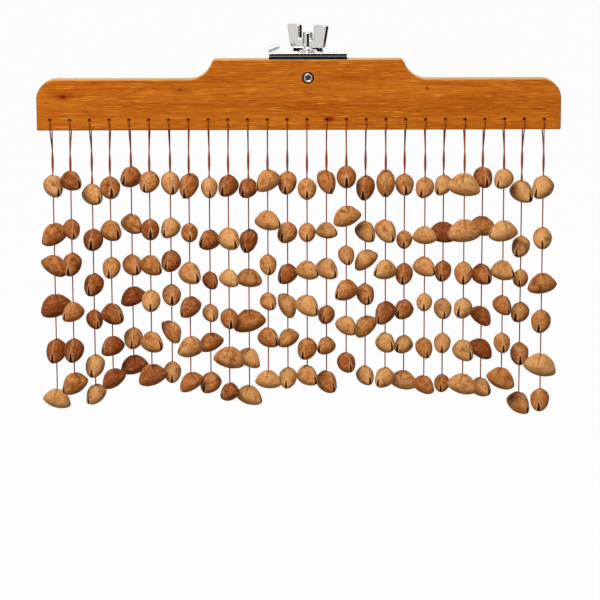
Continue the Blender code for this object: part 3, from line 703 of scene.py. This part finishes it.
def hole_row_tree(material, slope):
    """Cuts a row of holes that widen and rise from a waist to both faces, with their walls marked as bore for
    the painted shade in them.
    """
    kinds = {"Count": "Int", "First": "Vector", "Pitch": "Vector"}
    kinds.update(dict.fromkeys(("Waist", "Mouth", "Depth"), "Float"))
    graph, given, keys = new_tree("cord_holes", kinds)
    line = graph.out(
        "GeometryNodeMeshLine",
        {"Count": given["Count"], "Start Location": given["First"], "Offset": given["Pitch"]},
    )
    ends = {"Radius Bottom": given["Waist"], "Radius Top": given["Mouth"]}
    drill = graph.out("GeometryNodeMeshCone", {"Vertices": 24, **ends, "Depth": given["Depth"]})
    overlap = (0.0, 0.0, -0.0005)
    drill = graph.out("GeometryNodeTransform", {"Geometry": drill, "Translation": overlap})
    drill = graph.out(
        "GeometryNodeStoreNamedAttribute",
        {"Geometry": drill, "Name": "bore", "Value": 1.0},
        data_type="FLOAT",
        domain="FACE",
    )
    bored = given["Geometry"]
    for side in (1, -1):
        turn = (side * (math.pi / 2 - slope), 0.0, 0.0)
        drills = graph.out(
            "GeometryNodeInstanceOnPoints", {"Points": line, "Instance": drill, "Rotation": turn}
        )
        drills = graph.out("GeometryNodeRealizeInstances", {"Geometry": drills})
        cutting = graph.add("GeometryNodeMeshBoolean", operation="DIFFERENCE")
        graph.feed(cutting.inputs["Mesh 1"], bored)
        graph.feed(cutting.inputs["Mesh 2"], drills)
        bored = cutting.outputs[0]
    end_tree(graph, bored, material)
    return graph, keys


class CHIME_OT_mantle(bpy.types.Operator):
    """Make the shaped wooden bar with its cord holes and the nut's pocket"""

    bl_idname = "chime.mantle"
    bl_label = "Mantle"

    def execute(self, context):
        wood = context.scene.chime_wood
        material = wood_material(wood)
        thick = MANTLE_HIGH.y - MANTLE_LOW.y
        upright = placed((0.0, MANTLE_HIGH.y, 0.0), math.pi / 2)
        bar = new_object("bar", prism(mantle_outline(wood), thick, wood.edge_radius, upright, 4))
        # How far each face looks up, for the painted highlight on the top of the bar.
        crown = [max(0.0, face.normal.z) for face in bar.data.polygons]
        mark(bar.data, "crown", "FLOAT", "FACE", crown)
        cutters = self.cutters(context.scene.chime_metal, thick)
        for cutter in cutters:
            bar.modifiers.new(cutter.name, "BOOLEAN").object = cutter
        graph, keys = hole_row_tree(material, wood.hole_slope)
        first, last = JOINTS["strand_01"].x, JOINTS[f"strand_{STRAND_COUNT:02d}"].x
        row = {
            "Count": STRAND_COUNT,
            "First": (first, MIDDLE_Y, cord_level(wood)),
            "Pitch": ((last - first) / (STRAND_COUNT - 1), 0.0, 0.0),
            "Waist": wood.hole_waist / 2,
            "Mouth": wood.hole_diameter - wood.hole_waist / 2,
            "Depth": thick,
        }
        apply_tree(bar, graph, keys, row)
        mesh = baked(bar)
        for cutter in cutters:
            bpy.data.objects.remove(cutter)
        make_piece("wooden_mantle", mesh, material, "mantle", "mantle", WOOD_CREASE)
        return {"FINISHED"}

    def cutters(self, metal, thick):
        """Helpers for the nut's round pocket in the front and for the bolt's bore from above."""
        radius, middle = (NUT_HIGH.z - NUT_LOW.z) / 2, (NUT_LOW.z + NUT_HIGH.z) / 2
        inward = placed((0.0, MANTLE_LOW.y, middle), -math.pi / 2)
        depth = NUT_HIGH.y - MANTLE_LOW.y
        pocket = round_cutter("nut_pocket", radius + POCKET_CLEARANCE, -thick, depth, 40, inward)
        radius, low, high = metal.bolt_diameter / 2, BOLT_LOW.z - 0.004, 0.1
        bore = round_cutter("bolt_bore", radius + BORE_CLEARANCE, low, high, 32, placed((0.0, MIDDLE_Y, 0.0)))
        return pocket, bore


class CHIME_OT_bracket(bpy.types.Operator):
    """Make the bent chrome bracket, the rubber pad under it and the stop pin on it"""

    bl_idname = "chime.bracket"
    bl_label = "Bracket, Pad and Pin"

    def execute(self, context):
        metal = context.scene.chime_metal
        chrome = chrome_material("bracket_chrome", metal.chrome, 0.07)
        rubber = rubber_material(metal)
        plate, pad, pin = self.plate(metal), self.pad(), self.pin()
        make_piece("chrome_bracket", plate, chrome, "mantle", "bracket", METAL_CREASE, True)
        make_piece("rubber_seat", pad, rubber, "mantle", "rubber_pad", METAL_CREASE)
        make_piece("chrome_pin", pin, chrome, "mantle", "stop_pin", METAL_CREASE, True)
        return {"FINISHED"}

    def plate(self, metal):
        """A bent plate with fine rims: one leg lies over the mantle and one hangs behind it."""
        bend, thick, top, low = metal.bend_radius, metal.plate_thickness, BRACKET_HIGH.z, BRACKET_LOW.z
        corner = (-bend, top - bend)
        lower_rim, upper_rim = 0.0005, 0.0003
        outline = (
            arc((BRACKET_LOW.y + lower_rim, top - thick + lower_rim), lower_rim, 270, 180, 4)
            + arc((BRACKET_LOW.y + upper_rim, top - upper_rim), upper_rim, 180, 90, 4)
            + arc(corner, bend, 90, 0, 12)
            + [(0.0, low), (-thick, low)]
            + arc(corner, bend - thick, 0, 90, 12)
        )
        along_x = Matrix(((0, 0, 1, 0), (1, 0, 0, 0), (0, 1, 0, 0), (0, 0, 0, 1)))
        across = Matrix.Translation((BRACKET_LOW.x, 0.0, 0.0)) @ along_x
        return prism(outline, BRACKET_HIGH.x - BRACKET_LOW.x, metal.edge_radius, across)

    def pad(self):
        left, front, low = PAD_LOW
        right, back, high = PAD_HIGH
        shape = [(left, front), (right, front), (right, back), (left, back)]
        edge = 0.0005
        return prism(shape, high - low, edge, placed((0.0, 0.0, low)))

    def pin(self):
        """A short pin with rounded ends that rises to the right from where it sits on the plate."""
        rise, lift = math.radians(20), 0.0022
        radius = (PIN_HIGH.y - PIN_LOW.y) / 2
        length = (PIN_HIGH.x - PIN_LOW.x - radius * math.sin(rise)) / math.cos(rise)
        edge = radius / 4
        profile = (
            [(0.0, 0.0)]
            + rim(radius - edge, edge, edge, -90, 0)
            + rim(radius - edge, length - edge, edge, 0, 90)
            + [(0.0, length)]
        )
        foot = (PIN_LOW.x, (PIN_LOW.y + PIN_HIGH.y) / 2, PIN_LOW.z + lift)
        mesh = turned(profile, 32, placed(foot, math.pi / 2 - rise, "Y"))
        everything = mesh.verts[:] + mesh.edges[:] + mesh.faces[:]
        cut_off = bmesh.ops.bisect_plane(
            mesh, geom=everything, plane_co=(0, 0, PIN_LOW.z), plane_no=(0, 0, -1), clear_outer=True
        )
        seat = [e for e in cut_off["geom_cut"] if isinstance(e, bmesh.types.BMEdge)]
        bmesh.ops.contextual_create(mesh, geom=seat)
        return mesh


class CHIME_OT_wing_bolt(bpy.types.Operator):
    """Make the wing bolt, its washer and the barrel nut that it screws into"""

    bl_idname = "chime.wing_bolt"
    bl_label = "Wing Bolt, Washer and Nut"

    def execute(self, context):
        metal = context.scene.chime_metal
        chrome = chrome_material("bolt_chrome", metal.chrome, 0.06)
        steel = chrome_material("nut_steel", metal.chrome, 0.16)
        bolt, washer, nut = self.bolt(metal), self.washer(metal), self.nut()
        make_piece("chrome_wing_bolt", bolt, chrome, "wing_bolt", "wing_bolt", METAL_CREASE, True)
        make_piece("chrome_washer", washer, chrome, "mantle", "washer", METAL_CREASE, True)
        make_piece("steel_nut", nut, steel, "mantle", "barrel_nut", METAL_CREASE, True)
        return {"FINISHED"}

    def bolt(self, metal):
        """Shank, collar and hub turned in one, with two thick wings and the bar under them."""
        seat = JOINTS["wing_bolt"]
        to_world = placed(seat, metal.wing_turn, "Z")
        shank, hub, collar = metal.bolt_diameter / 2, metal.hub_diameter / 2, metal.collar_diameter / 2
        tip, top, edge = BOLT_LOW.z - seat.z, metal.hub_height, 0.0008
        collar_top, neck_low, neck_top, neck = 0.0018, 0.0030, 0.0042, 0.0004
        profile = (
            [(0.0, tip), (shank - edge, tip), (shank, tip + edge), (shank, 0.0)]
            + rim(collar - edge / 2, edge / 2, edge / 2, -90, 0)
            + rim(collar - edge, collar_top, edge, 0, 60)
            + [(hub + neck, neck_low), (hub, neck_top)]
            + rim(hub - 2 * edge, top - 2 * edge, 2 * edge, 0, 90)
            + [(0.0, top)]
        )
        mesh = turned(profile, 48, to_world)
        thick = metal.wing_thickness
        lie = placed((0.0, thick / 2, 0.0), math.pi / 2)
        for turn in (0.0, math.pi):
            wing = to_world @ Matrix.Rotation(turn, 4, "Z") @ lie
            join(mesh, prism(self.wing_outline(metal, hub, seat), thick, EDGE_OF_WINGS, wing, 4))
        join(mesh, self.feet(metal, seat))
        return mesh

    def wing_outline(self, metal, hub, seat):
        """One wing from inside the hub: it widens to the top, with a hollow between it and the hub."""
        reach, top = metal.wing_span / 2, BOLT_HIGH.z - seat.z
        inner, low, foot, corner = reach - 0.0140, 0.0032, 0.019, 0.0024
        hollow, hollow_height, root_top = 0.0035, 0.0140, 0.0095
        return (
            [(hub / 2, low)]
            + arc((foot - corner, low + corner), corner, 270, 350, 6)
            + arc((reach - corner, top - corner), corner, -10, 90, 6)
            + arc((inner + corner, top - corner), corner, 90, 172, 6)
            + arc((inner - hollow, hollow_height), hollow, -8, -80, 6)
            + [(hub / 2, root_top)]
        )

    def feet(self, metal, seat):
        """The bar under the wings, which stands on two feet beside the washer."""
        reach, inner = metal.foot_span / 2, (WASHER_HIGH.x - WASHER_LOW.x) / 2 + 0.0004
        low, arch, top, edge = BRACKET_HIGH.z + 0.0006 - seat.z, 0.0003, metal.foot_height, 0.0014
        shape = (
            [(-reach, low), (-inner, low), (-inner, arch), (inner, arch), (inner, low), (reach, low)]
            + arc((reach - edge, top - edge), edge, 0, 90, 5)
            + arc((edge - reach, top - edge), edge, 90, 180, 5)
        )
        depth = metal.foot_depth
        lie = placed((0.0, depth / 2, 0.0), math.pi / 2)
        return prism(shape, depth, EDGE_OF_WINGS, Matrix.Translation(seat) @ lie, 4)

    def washer(self, metal):
        outer, inner = (WASHER_HIGH.x - WASHER_LOW.x) / 2, metal.bolt_diameter / 2 + BORE_CLEARANCE
        thick = WASHER_HIGH.z - WASHER_LOW.z
        edge = thick / 3
        ring = (
            [(inner, 0.0)]
            + rim(outer - edge, edge, edge, -90, 0)
            + rim(outer - edge, thick - edge, edge, 0, 90)
            + [(inner, thick), (inner, 0.0)]
        )
        mesh = turned(ring, 48, placed((0.0, MIDDLE_Y, WASHER_LOW.z)))
        bmesh.ops.remove_doubles(mesh, verts=mesh.verts, dist=1e-6)
        return mesh

    def nut(self):
        """A round nut with a socket in the end that shows."""
        radius, length = (NUT_HIGH.z - NUT_LOW.z) / 2, NUT_HIGH.y - NUT_LOW.y
        socket, depth = 0.0027, 0.0040
        lip = (radius - socket) / 2
        profile = (
            [(0.0, depth), (socket, depth)]
            + arc((socket + lip, lip), lip, -180, 0, 10)
            + [(radius, length), (0.0, length)]
        )
        middle = (0.0, NUT_LOW.y, (NUT_LOW.z + NUT_HIGH.z) / 2)
        return turned(profile, 40, placed(middle, -math.pi / 2))


def smooth_step(low, high, value):
    share = np.clip((value - low) / (high - low), 0.0, 1.0)
    return share * share * (3 - 2 * share)


def bell(value, width):
    return np.exp(-((value / width) ** 2))


def nut_form(shells, dip, number):
    """One hollow shell about its own middle, for a given dip: X runs to its lower tip and Z up."""
    chance = np.random.default_rng(17 * dip + number)
    half = np.array((shells.length, shells.thickness, shells.height)) / 2
    along = np.sin(np.linspace(-1, 1, shells.rings)[1:-1] * np.pi / 2)[:, None]
    turn = np.linspace(0, 2 * np.pi, shells.sides, endpoint=False)[None, :]
    turn = turn + 0.34 * np.sin(2 * turn)
    girth = (1 - along**2) ** shells.taper
    up = np.sin(turn)
    facet = 2 / (2 - shells.facet * smooth_step(0.1, 0.8, np.abs(along)) * (up > 0))
    across = np.sign(np.cos(turn)) * np.abs(np.cos(turn)) ** facet
    up = np.sign(up) * np.abs(up) ** facet
    away = np.abs(half[1] * girth * across)
    crease = nut_crease(shells, half, math.tan(math.radians(dip)))

    # The slit of each half with its lips, and the ridge that runs up to it
    mouth, lip, crest = np.zeros_like(away), np.zeros_like(away), np.zeros_like(away)
    for side in (1, -1):
        start = chance.uniform(0.60, 0.76)
        width = shells.slit_width / 2 * chance.uniform(0.7, 1.35)
        run = side * along
        upper = smooth_step(start, start + 0.05, run) * (up > 0)
        lower = smooth_step(0.82, 0.90, run) * (up <= 0)
        opening = np.maximum(upper, lower)
        gape = width * (0.35 + 0.65 * smooth_step(start, 0.97, run))
        mouth = np.maximum(mouth, opening * (1 - smooth_step(0.75 * gape, 1.15 * gape, away)))
        near = smooth_step(0.9 * gape, 1.2 * gape, away)
        near = near * (1 - smooth_step(gape + 0.0005, gape + 0.0016, away))
        beside = np.maximum(smooth_step(start - 0.10, start + 0.05, run) * (up > 0), lower)
        lip = np.maximum(lip, near * beside)
        ridge = bell(away, 0.0011) * smooth_step(side * crease + 0.05, side * crease + 0.25, run)
        crest = np.maximum(crest, ridge * (up > 0) * (1 - opening))

    # The groove across the top with a lobe at either side, and the dark seam along it
    top = smooth_step(-0.1, 0.25, up)
    groove = bell(along - crease, 0.035) * top
    seam = bell(along - crease, 0.05) * smooth_step(0.05, 0.45, up)
    lobes = bell(along - crease - 0.19, 0.12) + bell(along - crease + 0.19, 0.12)
    swell = shells.ridge * crest + 0.0002 * lip - 0.0007 * groove + 0.0004 * lobes * top
    swell *= smooth_step(0.0, 0.25, girth)

    # The points, with one half fatter, a flatter belly and small lumps
    fat = 1 + chance.uniform(-0.05, 0.05) * along
    flat = np.where(up < 0, chance.uniform(0.90, 1.0), 1.0)
    inside = 1 - 0.62 * mouth
    x = half[0] * along * (1 - 0.10 * mouth * smooth_step(0.8, 1.0, np.abs(along)))
    y = (half[1] * girth * fat * inside + swell) * across
    z = (half[2] * girth * fat * inside * flat + swell) * up - shells.droop * along**2
    points = np.stack((x, y, z), axis=-1)
    shift = Vector(chance.uniform(0, 50, 3))
    for point in points.reshape(-1, 3):
        point *= 1 + 0.022 * noise.noise(shift + Vector(point) * 130)

    tips = [(0.9 * side * half[0], 0.0, -shells.droop) for side in (-1, 1)]
    mesh = closed_grid(f"nut_form_{dip:02d}_{number}", points, tips)
    crown = half[2] * (1 - crease**2) ** shells.taper - shells.droop * crease**2
    # The cord's hole is not cut: a patch round it joins the slit marks, which the material paints near black
    # as shade.
    hole, hole_radius = (crease * half[0], 0.0, crown), 0.0013
    mouth = np.maximum(mouth, np.linalg.norm(points - hole, axis=-1) < hole_radius)
    fields = (("mouth", mouth, 1), ("lip", lip, 0), ("crest", crest, 0), ("seam", seam, 0))
    for name, values, at_tips in fields:
        mark(mesh, name, "FLOAT", "POINT", np.append(values, (at_tips, at_tips)))
    mark(mesh, "nut_point", "FLOAT_VECTOR", "POINT", [vert.co for vert in mesh.vertices])
    mesh.shade_smooth()
    return mesh


def nut_crease(shells, half, slope):
    """Where a shell is highest when it dips by this slope, as a share of its half length: the cord's hole."""
    shares = np.linspace(0.0, 0.999, 400)
    rise = slope * half[2] * (1 - shares**2) ** shells.taper
    return -shares[np.argmin(np.abs(half[0] * shares - rise))]


def closed_grid(name, points, tips):
    """A mesh of rings of points, closed at both ends by a tip."""
    rows, sides = points.shape[:2]
    first_tip, last_row = rows * sides, (rows - 1) * sides
    faces = []
    for start in range(0, last_row, sides):
        for s in range(sides):
            n = (s + 1) % sides
            faces.append((start + s, start + sides + s, start + sides + n, start + n))
    for s in range(sides):
        n = (s + 1) % sides
        faces.append((first_tip, s, n))
        faces.append((first_tip + 1, last_row + n, last_row + s))
    mesh = bpy.data.meshes.new(name)
    mesh.from_pydata([tuple(p) for p in points.reshape(-1, 3)] + tips, [], faces)
    return mesh


def strung_shell_tree(material):
    """Puts a shell form on every point of a strand, turned, sized and shaded by the point's values."""
    graph, given, keys = new_tree("strung_shells", {"Shell Forms": "Collection"})

    def value(name, kind):
        node = graph.add("GeometryNodeInputNamedAttribute", {"Name": name}, data_type=kind)
        return node.outputs["Attribute"]

    forms = graph.out(
        "GeometryNodeCollectionInfo",
        {"Collection": given["Shell Forms"], "Separate Children": True, "Reset Children": True},
    )
    strung = graph.out(
        "GeometryNodeInstanceOnPoints",
        {
            "Points": given["Geometry"],
            "Instance": forms,
            "Pick Instance": True,
            "Instance Index": value("form", "INT"),
            "Rotation": value("pose", "FLOAT_VECTOR"),
            "Scale": value("swell", "FLOAT_VECTOR"),
        },
    )
    end_tree(graph, graph.out("GeometryNodeRealizeInstances", {"Geometry": strung}), material)
    return graph, keys


class CHIME_OT_shells(bpy.types.Operator):
    """String the nut shells of every strand on its cord"""

    bl_idname = "chime.shells"
    bl_label = "Nut Shells"

    def execute(self, context):
        shells = context.scene.chime_shells
        material = shell_material(shells)
        forms = bpy.data.collections.new("shell_forms")
        for place, (dip, number) in enumerate((d, n) for d in DIP_FORMS for n in range(FORMS_PER_DIP)):
            mesh = nut_form(shells, dip, number)
            forms.objects.link(bpy.data.objects.new(f"form_{place:02d}", mesh))
        graph, keys = strung_shell_tree(material)
        for index in range(STRAND_COUNT):
            number = f"{index + 1:02d}"
            strand = f"strand_{number}"
            points = new_object("shell_places", self.places(index, JOINTS[strand]))
            apply_tree(points, graph, keys, {"Shell Forms": forms})
            make_piece(f"shells_{number}", baked(points), material, strand, f"shell_{strand}")
        for form in list(forms.objects):
            bpy.data.objects.remove(form)
        bpy.data.collections.remove(forms)
        return {"FINISHED"}

    def places(self, index, pivot):
        """A mesh of one point for each shell, with the shell's form, pose, size and shade."""
        rows = STRANDS[index]
        chance = np.random.default_rng(900 + index)
        poses, swells, forms, seeds = [], [], [], []
        for place, (_, turn, dip, size, _) in enumerate(rows):
            heading, drop = math.radians(turn), math.radians(dip)
            level = math.cos(drop)
            length = Vector((math.sin(heading) * level, -math.cos(heading) * level, -math.sin(drop)))
            across = Vector((math.cos(heading), math.sin(heading), 0.0))
            axes = Matrix((length, across, length.cross(across))).transposed()
            poses.append(tuple(axes.to_euler("XYZ")))
            swells.append([size / 100 * chance.uniform(0.985, 1.015) for _ in range(3)])
            nearest = min(range(len(DIP_FORMS)), key=lambda k: abs(DIP_FORMS[k] - dip))
            forms.append(nearest * FORMS_PER_DIP + (index * 5 + place * 2) % FORMS_PER_DIP)
            seeds.append(chance.uniform(0.0, 3.0))
        shades = [(row[4] - 1) / 8 for row in rows]
        mesh = bpy.data.meshes.new("shell_places")
        mesh.from_pydata([(pivot.x, pivot.y, MANTLE_LOW.z - row[0] / 1000) for row in rows], [], [])
        mark(mesh, "pose", "FLOAT_VECTOR", "POINT", poses)
        mark(mesh, "swell", "FLOAT_VECTOR", "POINT", swells)
        mark(mesh, "form", "INT", "POINT", forms)
        mark(mesh, "shade", "FLOAT", "POINT", shades)
        mark(mesh, "seed", "FLOAT", "POINT", seeds)
        return mesh


def rounded_route(corners, step):
    """Points along straight runs between corners of (place, radius), each rounded to its radius."""
    route = [Vector(corners[0][0])]
    for (before, _), (corner, radius), (after, _) in zip(corners, corners[1:], corners[2:]):
        corner = Vector(corner)
        back, on = (Vector(before) - corner).normalized(), (Vector(after) - corner).normalized()
        bend = math.pi - back.angle(on)
        if bend < 0.01 or radius == 0.0:
            route.append(corner)
            continue
        inward = (back + on).normalized()
        centre = corner + inward * (radius / math.cos(bend / 2))
        start = corner + back * (radius * math.tan(bend / 2)) - centre
        aside = -back * radius
        pieces = max(4, round(radius * bend / step * 2))
        turns = [bend * i / pieces for i in range(pieces + 1)]
        route += [centre + start * math.cos(t) + aside * math.sin(t) for t in turns]
    route.append(Vector(corners[-1][0]))
    spaced = [route[0]]
    for a, b in zip(route, route[1:]):
        pieces = max(1, round((b - a).length / step))
        spaced += [a.lerp(b, (i + 1) / pieces) for i in range(pieces)]
    return spaced


def cord_tube(route, radius, lay, sides=8):
    """A round tube along a route, with a map that runs along it and round it."""
    mesh = bmesh.new()
    turns = [2 * math.pi * k / sides for k in range(sides)]
    rings, marks, run = [], [], 0.0
    side = Vector((1.0, 0.0, 0.0))
    for i, point in enumerate(route):
        along = (route[min(i + 1, len(route) - 1)] - route[max(i - 1, 0)]).normalized()
        side = (side - side.project(along)).normalized()
        other = along.cross(side)
        run += (point - route[i - 1]).length if i else 0.0
        marks.append(run / lay)
        ring = [point + radius * (side * math.cos(t) + other * math.sin(t)) for t in turns]
        rings.append([mesh.verts.new(place) for place in ring])
    layer = mesh.loops.layers.uv.new("UVMap")
    for i, (lower, upper) in enumerate(zip(rings, rings[1:])):
        for k in range(sides):
            n = (k + 1) % sides
            face = mesh.faces.new((lower[k], lower[n], upper[n], upper[k]))
            spots = ((marks[i], k), (marks[i], k + 1), (marks[i + 1], k + 1), (marks[i + 1], k))
            for loop, (u, v) in zip(face.loops, spots):
                loop[layer].uv = (u, v / sides)
    mesh.faces.new(rings[0][::-1])
    mesh.faces.new(rings[-1])
    return mesh


class CHIME_OT_cords(bpy.types.Operator):
    """Lay every cord through its hole, down both faces of the mantle and through its shells"""

    bl_idname = "chime.cords"
    bl_label = "Cords"

    def execute(self, context):
        cords, wood = context.scene.chime_cords, context.scene.chime_wood
        material = cord_material(cords)
        for index in range(STRAND_COUNT):
            number = f"{index + 1:02d}"
            pivot = JOINTS[f"strand_{number}"]
            route = self.route(index, pivot, cords, wood)
            mesh = cord_tube(route, cords.diameter / 2, cords.lay)
            cord = make_piece(
                f"cord_{number}", mesh, material, None, f"hanger_loop_{number}", CORD_CREASE
            )
            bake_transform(cord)
        return {"FINISHED"}

    def route(self, index, pivot, cords, wood):
        """From the first shell up to the pivot and through the hole, then back and down the strand."""
        off, over_rim, shell_depth = cords.diameter / 2 + 0.0002, 0.0010, 0.006
        front, back = MANTLE_LOW.y - off, MANTLE_HIGH.y + off
        hole, foot, tight, easy = cord_level(wood), MANTLE_LOW.z, cords.bend, 2 * cords.bend
        rows = STRANDS[index]
        first, last = (MANTLE_LOW.z - rows[k][0] / 1000 for k in (0, -1))
        inside = first + shell_depth * rows[0][3] / 100
        run = pivot.z - inside
        turns = run / cords.twist
        steps = max(8, round(run / cords.step))

        def beside(share, half):
            """A point of one of the two runs that twist round each other under the pivot."""
            turn = 2 * math.pi * turns * share + half * math.pi
            aside = cords.diameter / 2 * Vector((math.sin(turn), -math.cos(turn), 0.0))
            return pivot + aside - Vector((0, 0, run * share))

        clear = math.ceil(steps * easy / run)
        rise = [(beside(1 - i / steps, 0), 0.0) for i in range(steps + 1 - clear)] + [(beside(0, 0), easy)]
        fall = [(beside(0, 1), easy)] + [(beside(i / steps, 1), 0.0) for i in range(clear, steps + 1)]
        over = [
            ((pivot.x, front, foot), easy),
            ((pivot.x, front - over_rim, hole), tight),
            ((pivot.x, back + over_rim, hole), tight),
            ((pivot.x, back, foot), easy),
        ]
        down = [((pivot.x, pivot.y, inside - shell_depth), easy), ((pivot.x, pivot.y, last), 0.0)]
        return rounded_route(rise + over + fall + down, cords.step)


class CHIME_OT_stage(bpy.types.Operator):
    """Add the floor, the soft light and the camera"""

    bl_idname = "chime.stage"
    bl_label = "Stage"

    def execute(self, context):
        stage = context.scene.chime_stage
        self.world(context, stage)
        self.floor(stage)
        self.lamp("key_light", (-0.65, -1.8, 1.85), 1.8, stage.key_power)
        self.lamp("fill_light", (1.6, -2.0, 0.5), 1.2, stage.fill_power)
        self.cards()
        self.camera(context, stage)
        context.scene.view_settings.view_transform = "Standard"
        return {"FINISHED"}

    def seen(self, graph):
        """One for what the camera sees itself or in a reflection, and nothing for light on the object."""
        path = graph.add("ShaderNodeLightPath").outputs
        direct = graph.math("MAXIMUM", path["Is Camera Ray"], path["Is Glossy Ray"])
        return graph.math("MAXIMUM", direct, path["Is Transmission Ray"])

    def world(self, context, stage):
        world = bpy.data.worlds.new("studio")
        world.use_nodes = True
        graph = Graph(world.node_tree)
        background = world.node_tree.nodes["Background"]
        background.inputs["Color"].default_value = solid(WHITE)
        spare = graph.times(self.seen(graph), 1.0 - stage.sky)
        graph.feed(background.inputs["Strength"], graph.math("ADD", spare, stage.sky))
        context.scene.world = world

    def panel(self, name, material, to_world):
        """A flat square of the stage, two units wide before it is placed."""
        mesh = bmesh.new()
        bmesh.ops.create_grid(mesh, x_segments=1, y_segments=1, size=1.0)
        mesh.transform(to_world)
        item = new_object(name, mesh)
        item.data.materials.append(material)
        return item

    def floor(self, stage):
        """A wide floor that looks white, but throws little light back on the object."""
        material, shader, graph = new_material("pale_floor", 0.9, specular=0.0)
        shader.inputs["Base Color"].default_value = (0.5, 0.5, 0.5, 1.0)
        glow = graph.out("ShaderNodeEmission", {"Color": solid(WHITE), "Strength": 1.0})
        share = graph.times(self.seen(graph), 0.975)
        both = graph.out("ShaderNodeMixShader", {0: share, 1: shader.outputs[0], 2: glow})
        graph.feed(material.node_tree.nodes["Material Output"].inputs["Surface"], both)
        drop, reach = Matrix.Translation((0.0, 0.0, CAD_LOW.z - stage.floor_drop)), 40.0
        self.panel("pale_floor", material, drop @ Matrix.Diagonal((reach, reach, 1.0, 1.0)))

    def cards(self):
        """Dark cards behind the camera and at both sides that only polished surfaces show."""
        material, shader, graph = new_material("dark_card", 1.0)
        shade = graph.noise(graph.object_point(), 2.0)
        stops = ((0.3, (0.01, 0.01, 0.011, 1.0)), (0.7, (0.02, 0.02, 0.021, 1.0)))
        graph.feed(shader.inputs["Base Color"], graph.ramp(shade, *stops))
        for name, place, turn, width in (
            ("rear_card", (0.0, -3.0, 0.2), 0.0, 1.5),
            ("left_card", (-1.5, 0.5, 0.2), -60.0, 0.6),
            ("right_card", (1.5, 0.5, 0.2), 60.0, 0.6),
        ):
            upright = Matrix.Rotation(math.pi / 2, 4, "X") @ Matrix.Diagonal((width, 0.9, 1.0, 1.0))
            card = self.panel(name, material, placed(place, math.radians(turn), "Z") @ upright)
            card.visible_camera = card.visible_diffuse = card.visible_shadow = False

    def lamp(self, name, place, size, power):
        """A round lamp that points at the middle of the object."""
        light = bpy.data.lights.new(name, "AREA")
        light.shape = "DISK"
        light.size = size
        light.energy = power
        lamp = new_object(name, light)
        lamp.location = place
        middle = (CAD_LOW + CAD_HIGH) / 2
        lamp.rotation_euler = (middle - lamp.location).to_track_quat("-Z", "Y").to_euler()

    def camera(self, context, stage):
        data = bpy.data.cameras.new("camera")
        data.lens = stage.lens
        data.sensor_width = 36.0
        data.clip_start, data.clip_end = 0.05, 60.0
        camera = new_object("camera", data)
        back = Vector((0.0, -math.cos(stage.elevation), math.sin(stage.elevation)))
        camera.location = Vector(stage.aim) + back * stage.distance
        look = (-back).to_track_quat("-Z", "Y").to_matrix().to_4x4()
        camera.rotation_euler = (look @ Matrix.Rotation(-stage.roll, 4, "Z")).to_euler()
        context.scene.camera = camera


class CHIME_PT_panel(bpy.types.Panel):
    """The chime's pieces and their settings"""

    bl_label = "Shell Wind Chime"
    bl_idname = "CHIME_PT_panel"
    bl_space_type = "VIEW_3D"
    bl_region_type = "UI"
    bl_category = "Chime"

    def draw(self, context):
        for operator in OPERATORS:
            self.layout.operator(operator.bl_idname)
        for name, group in SETTINGS.items():
            box = self.layout.box()
            box.label(text=group.__doc__)
            for key in group.__annotations__:
                box.prop(getattr(context.scene, name), key)


SETTINGS = {
    "chime_wood": ChimeWood,
    "chime_metal": ChimeMetal,
    "chime_shells": ChimeShells,
    "chime_cords": ChimeCords,
    "chime_stage": ChimeStage,
}
OPERATORS = (
    CHIME_OT_stage,
    CHIME_OT_cords,
    CHIME_OT_mantle,
    CHIME_OT_bracket,
    CHIME_OT_wing_bolt,
    CHIME_OT_shells,
)


def register():
    for group in SETTINGS.values():
        bpy.utils.register_class(group)
    for kind in (*OPERATORS, CHIME_PT_panel):
        bpy.utils.register_class(kind)
    for name, group in SETTINGS.items():
        setattr(bpy.types.Scene, name, PointerProperty(type=group))


def unregister():
    for name in SETTINGS:
        delattr(bpy.types.Scene, name)
    for kind in (CHIME_PT_panel, *reversed(OPERATORS), *SETTINGS.values()):
        bpy.utils.unregister_class(kind)


def main():
    register()
    for name in ("Cube", "Camera", "Light"):
        if name in bpy.data.objects:
            bpy.data.objects.remove(bpy.data.objects[name])
    bpy.ops.chime.stage()
    bpy.ops.chime.cords()
    bpy.ops.chime.mantle()
    bpy.ops.chime.bracket()
    bpy.ops.chime.wing_bolt()
    bpy.ops.chime.shells()


if __name__ == "__main__":
    main()
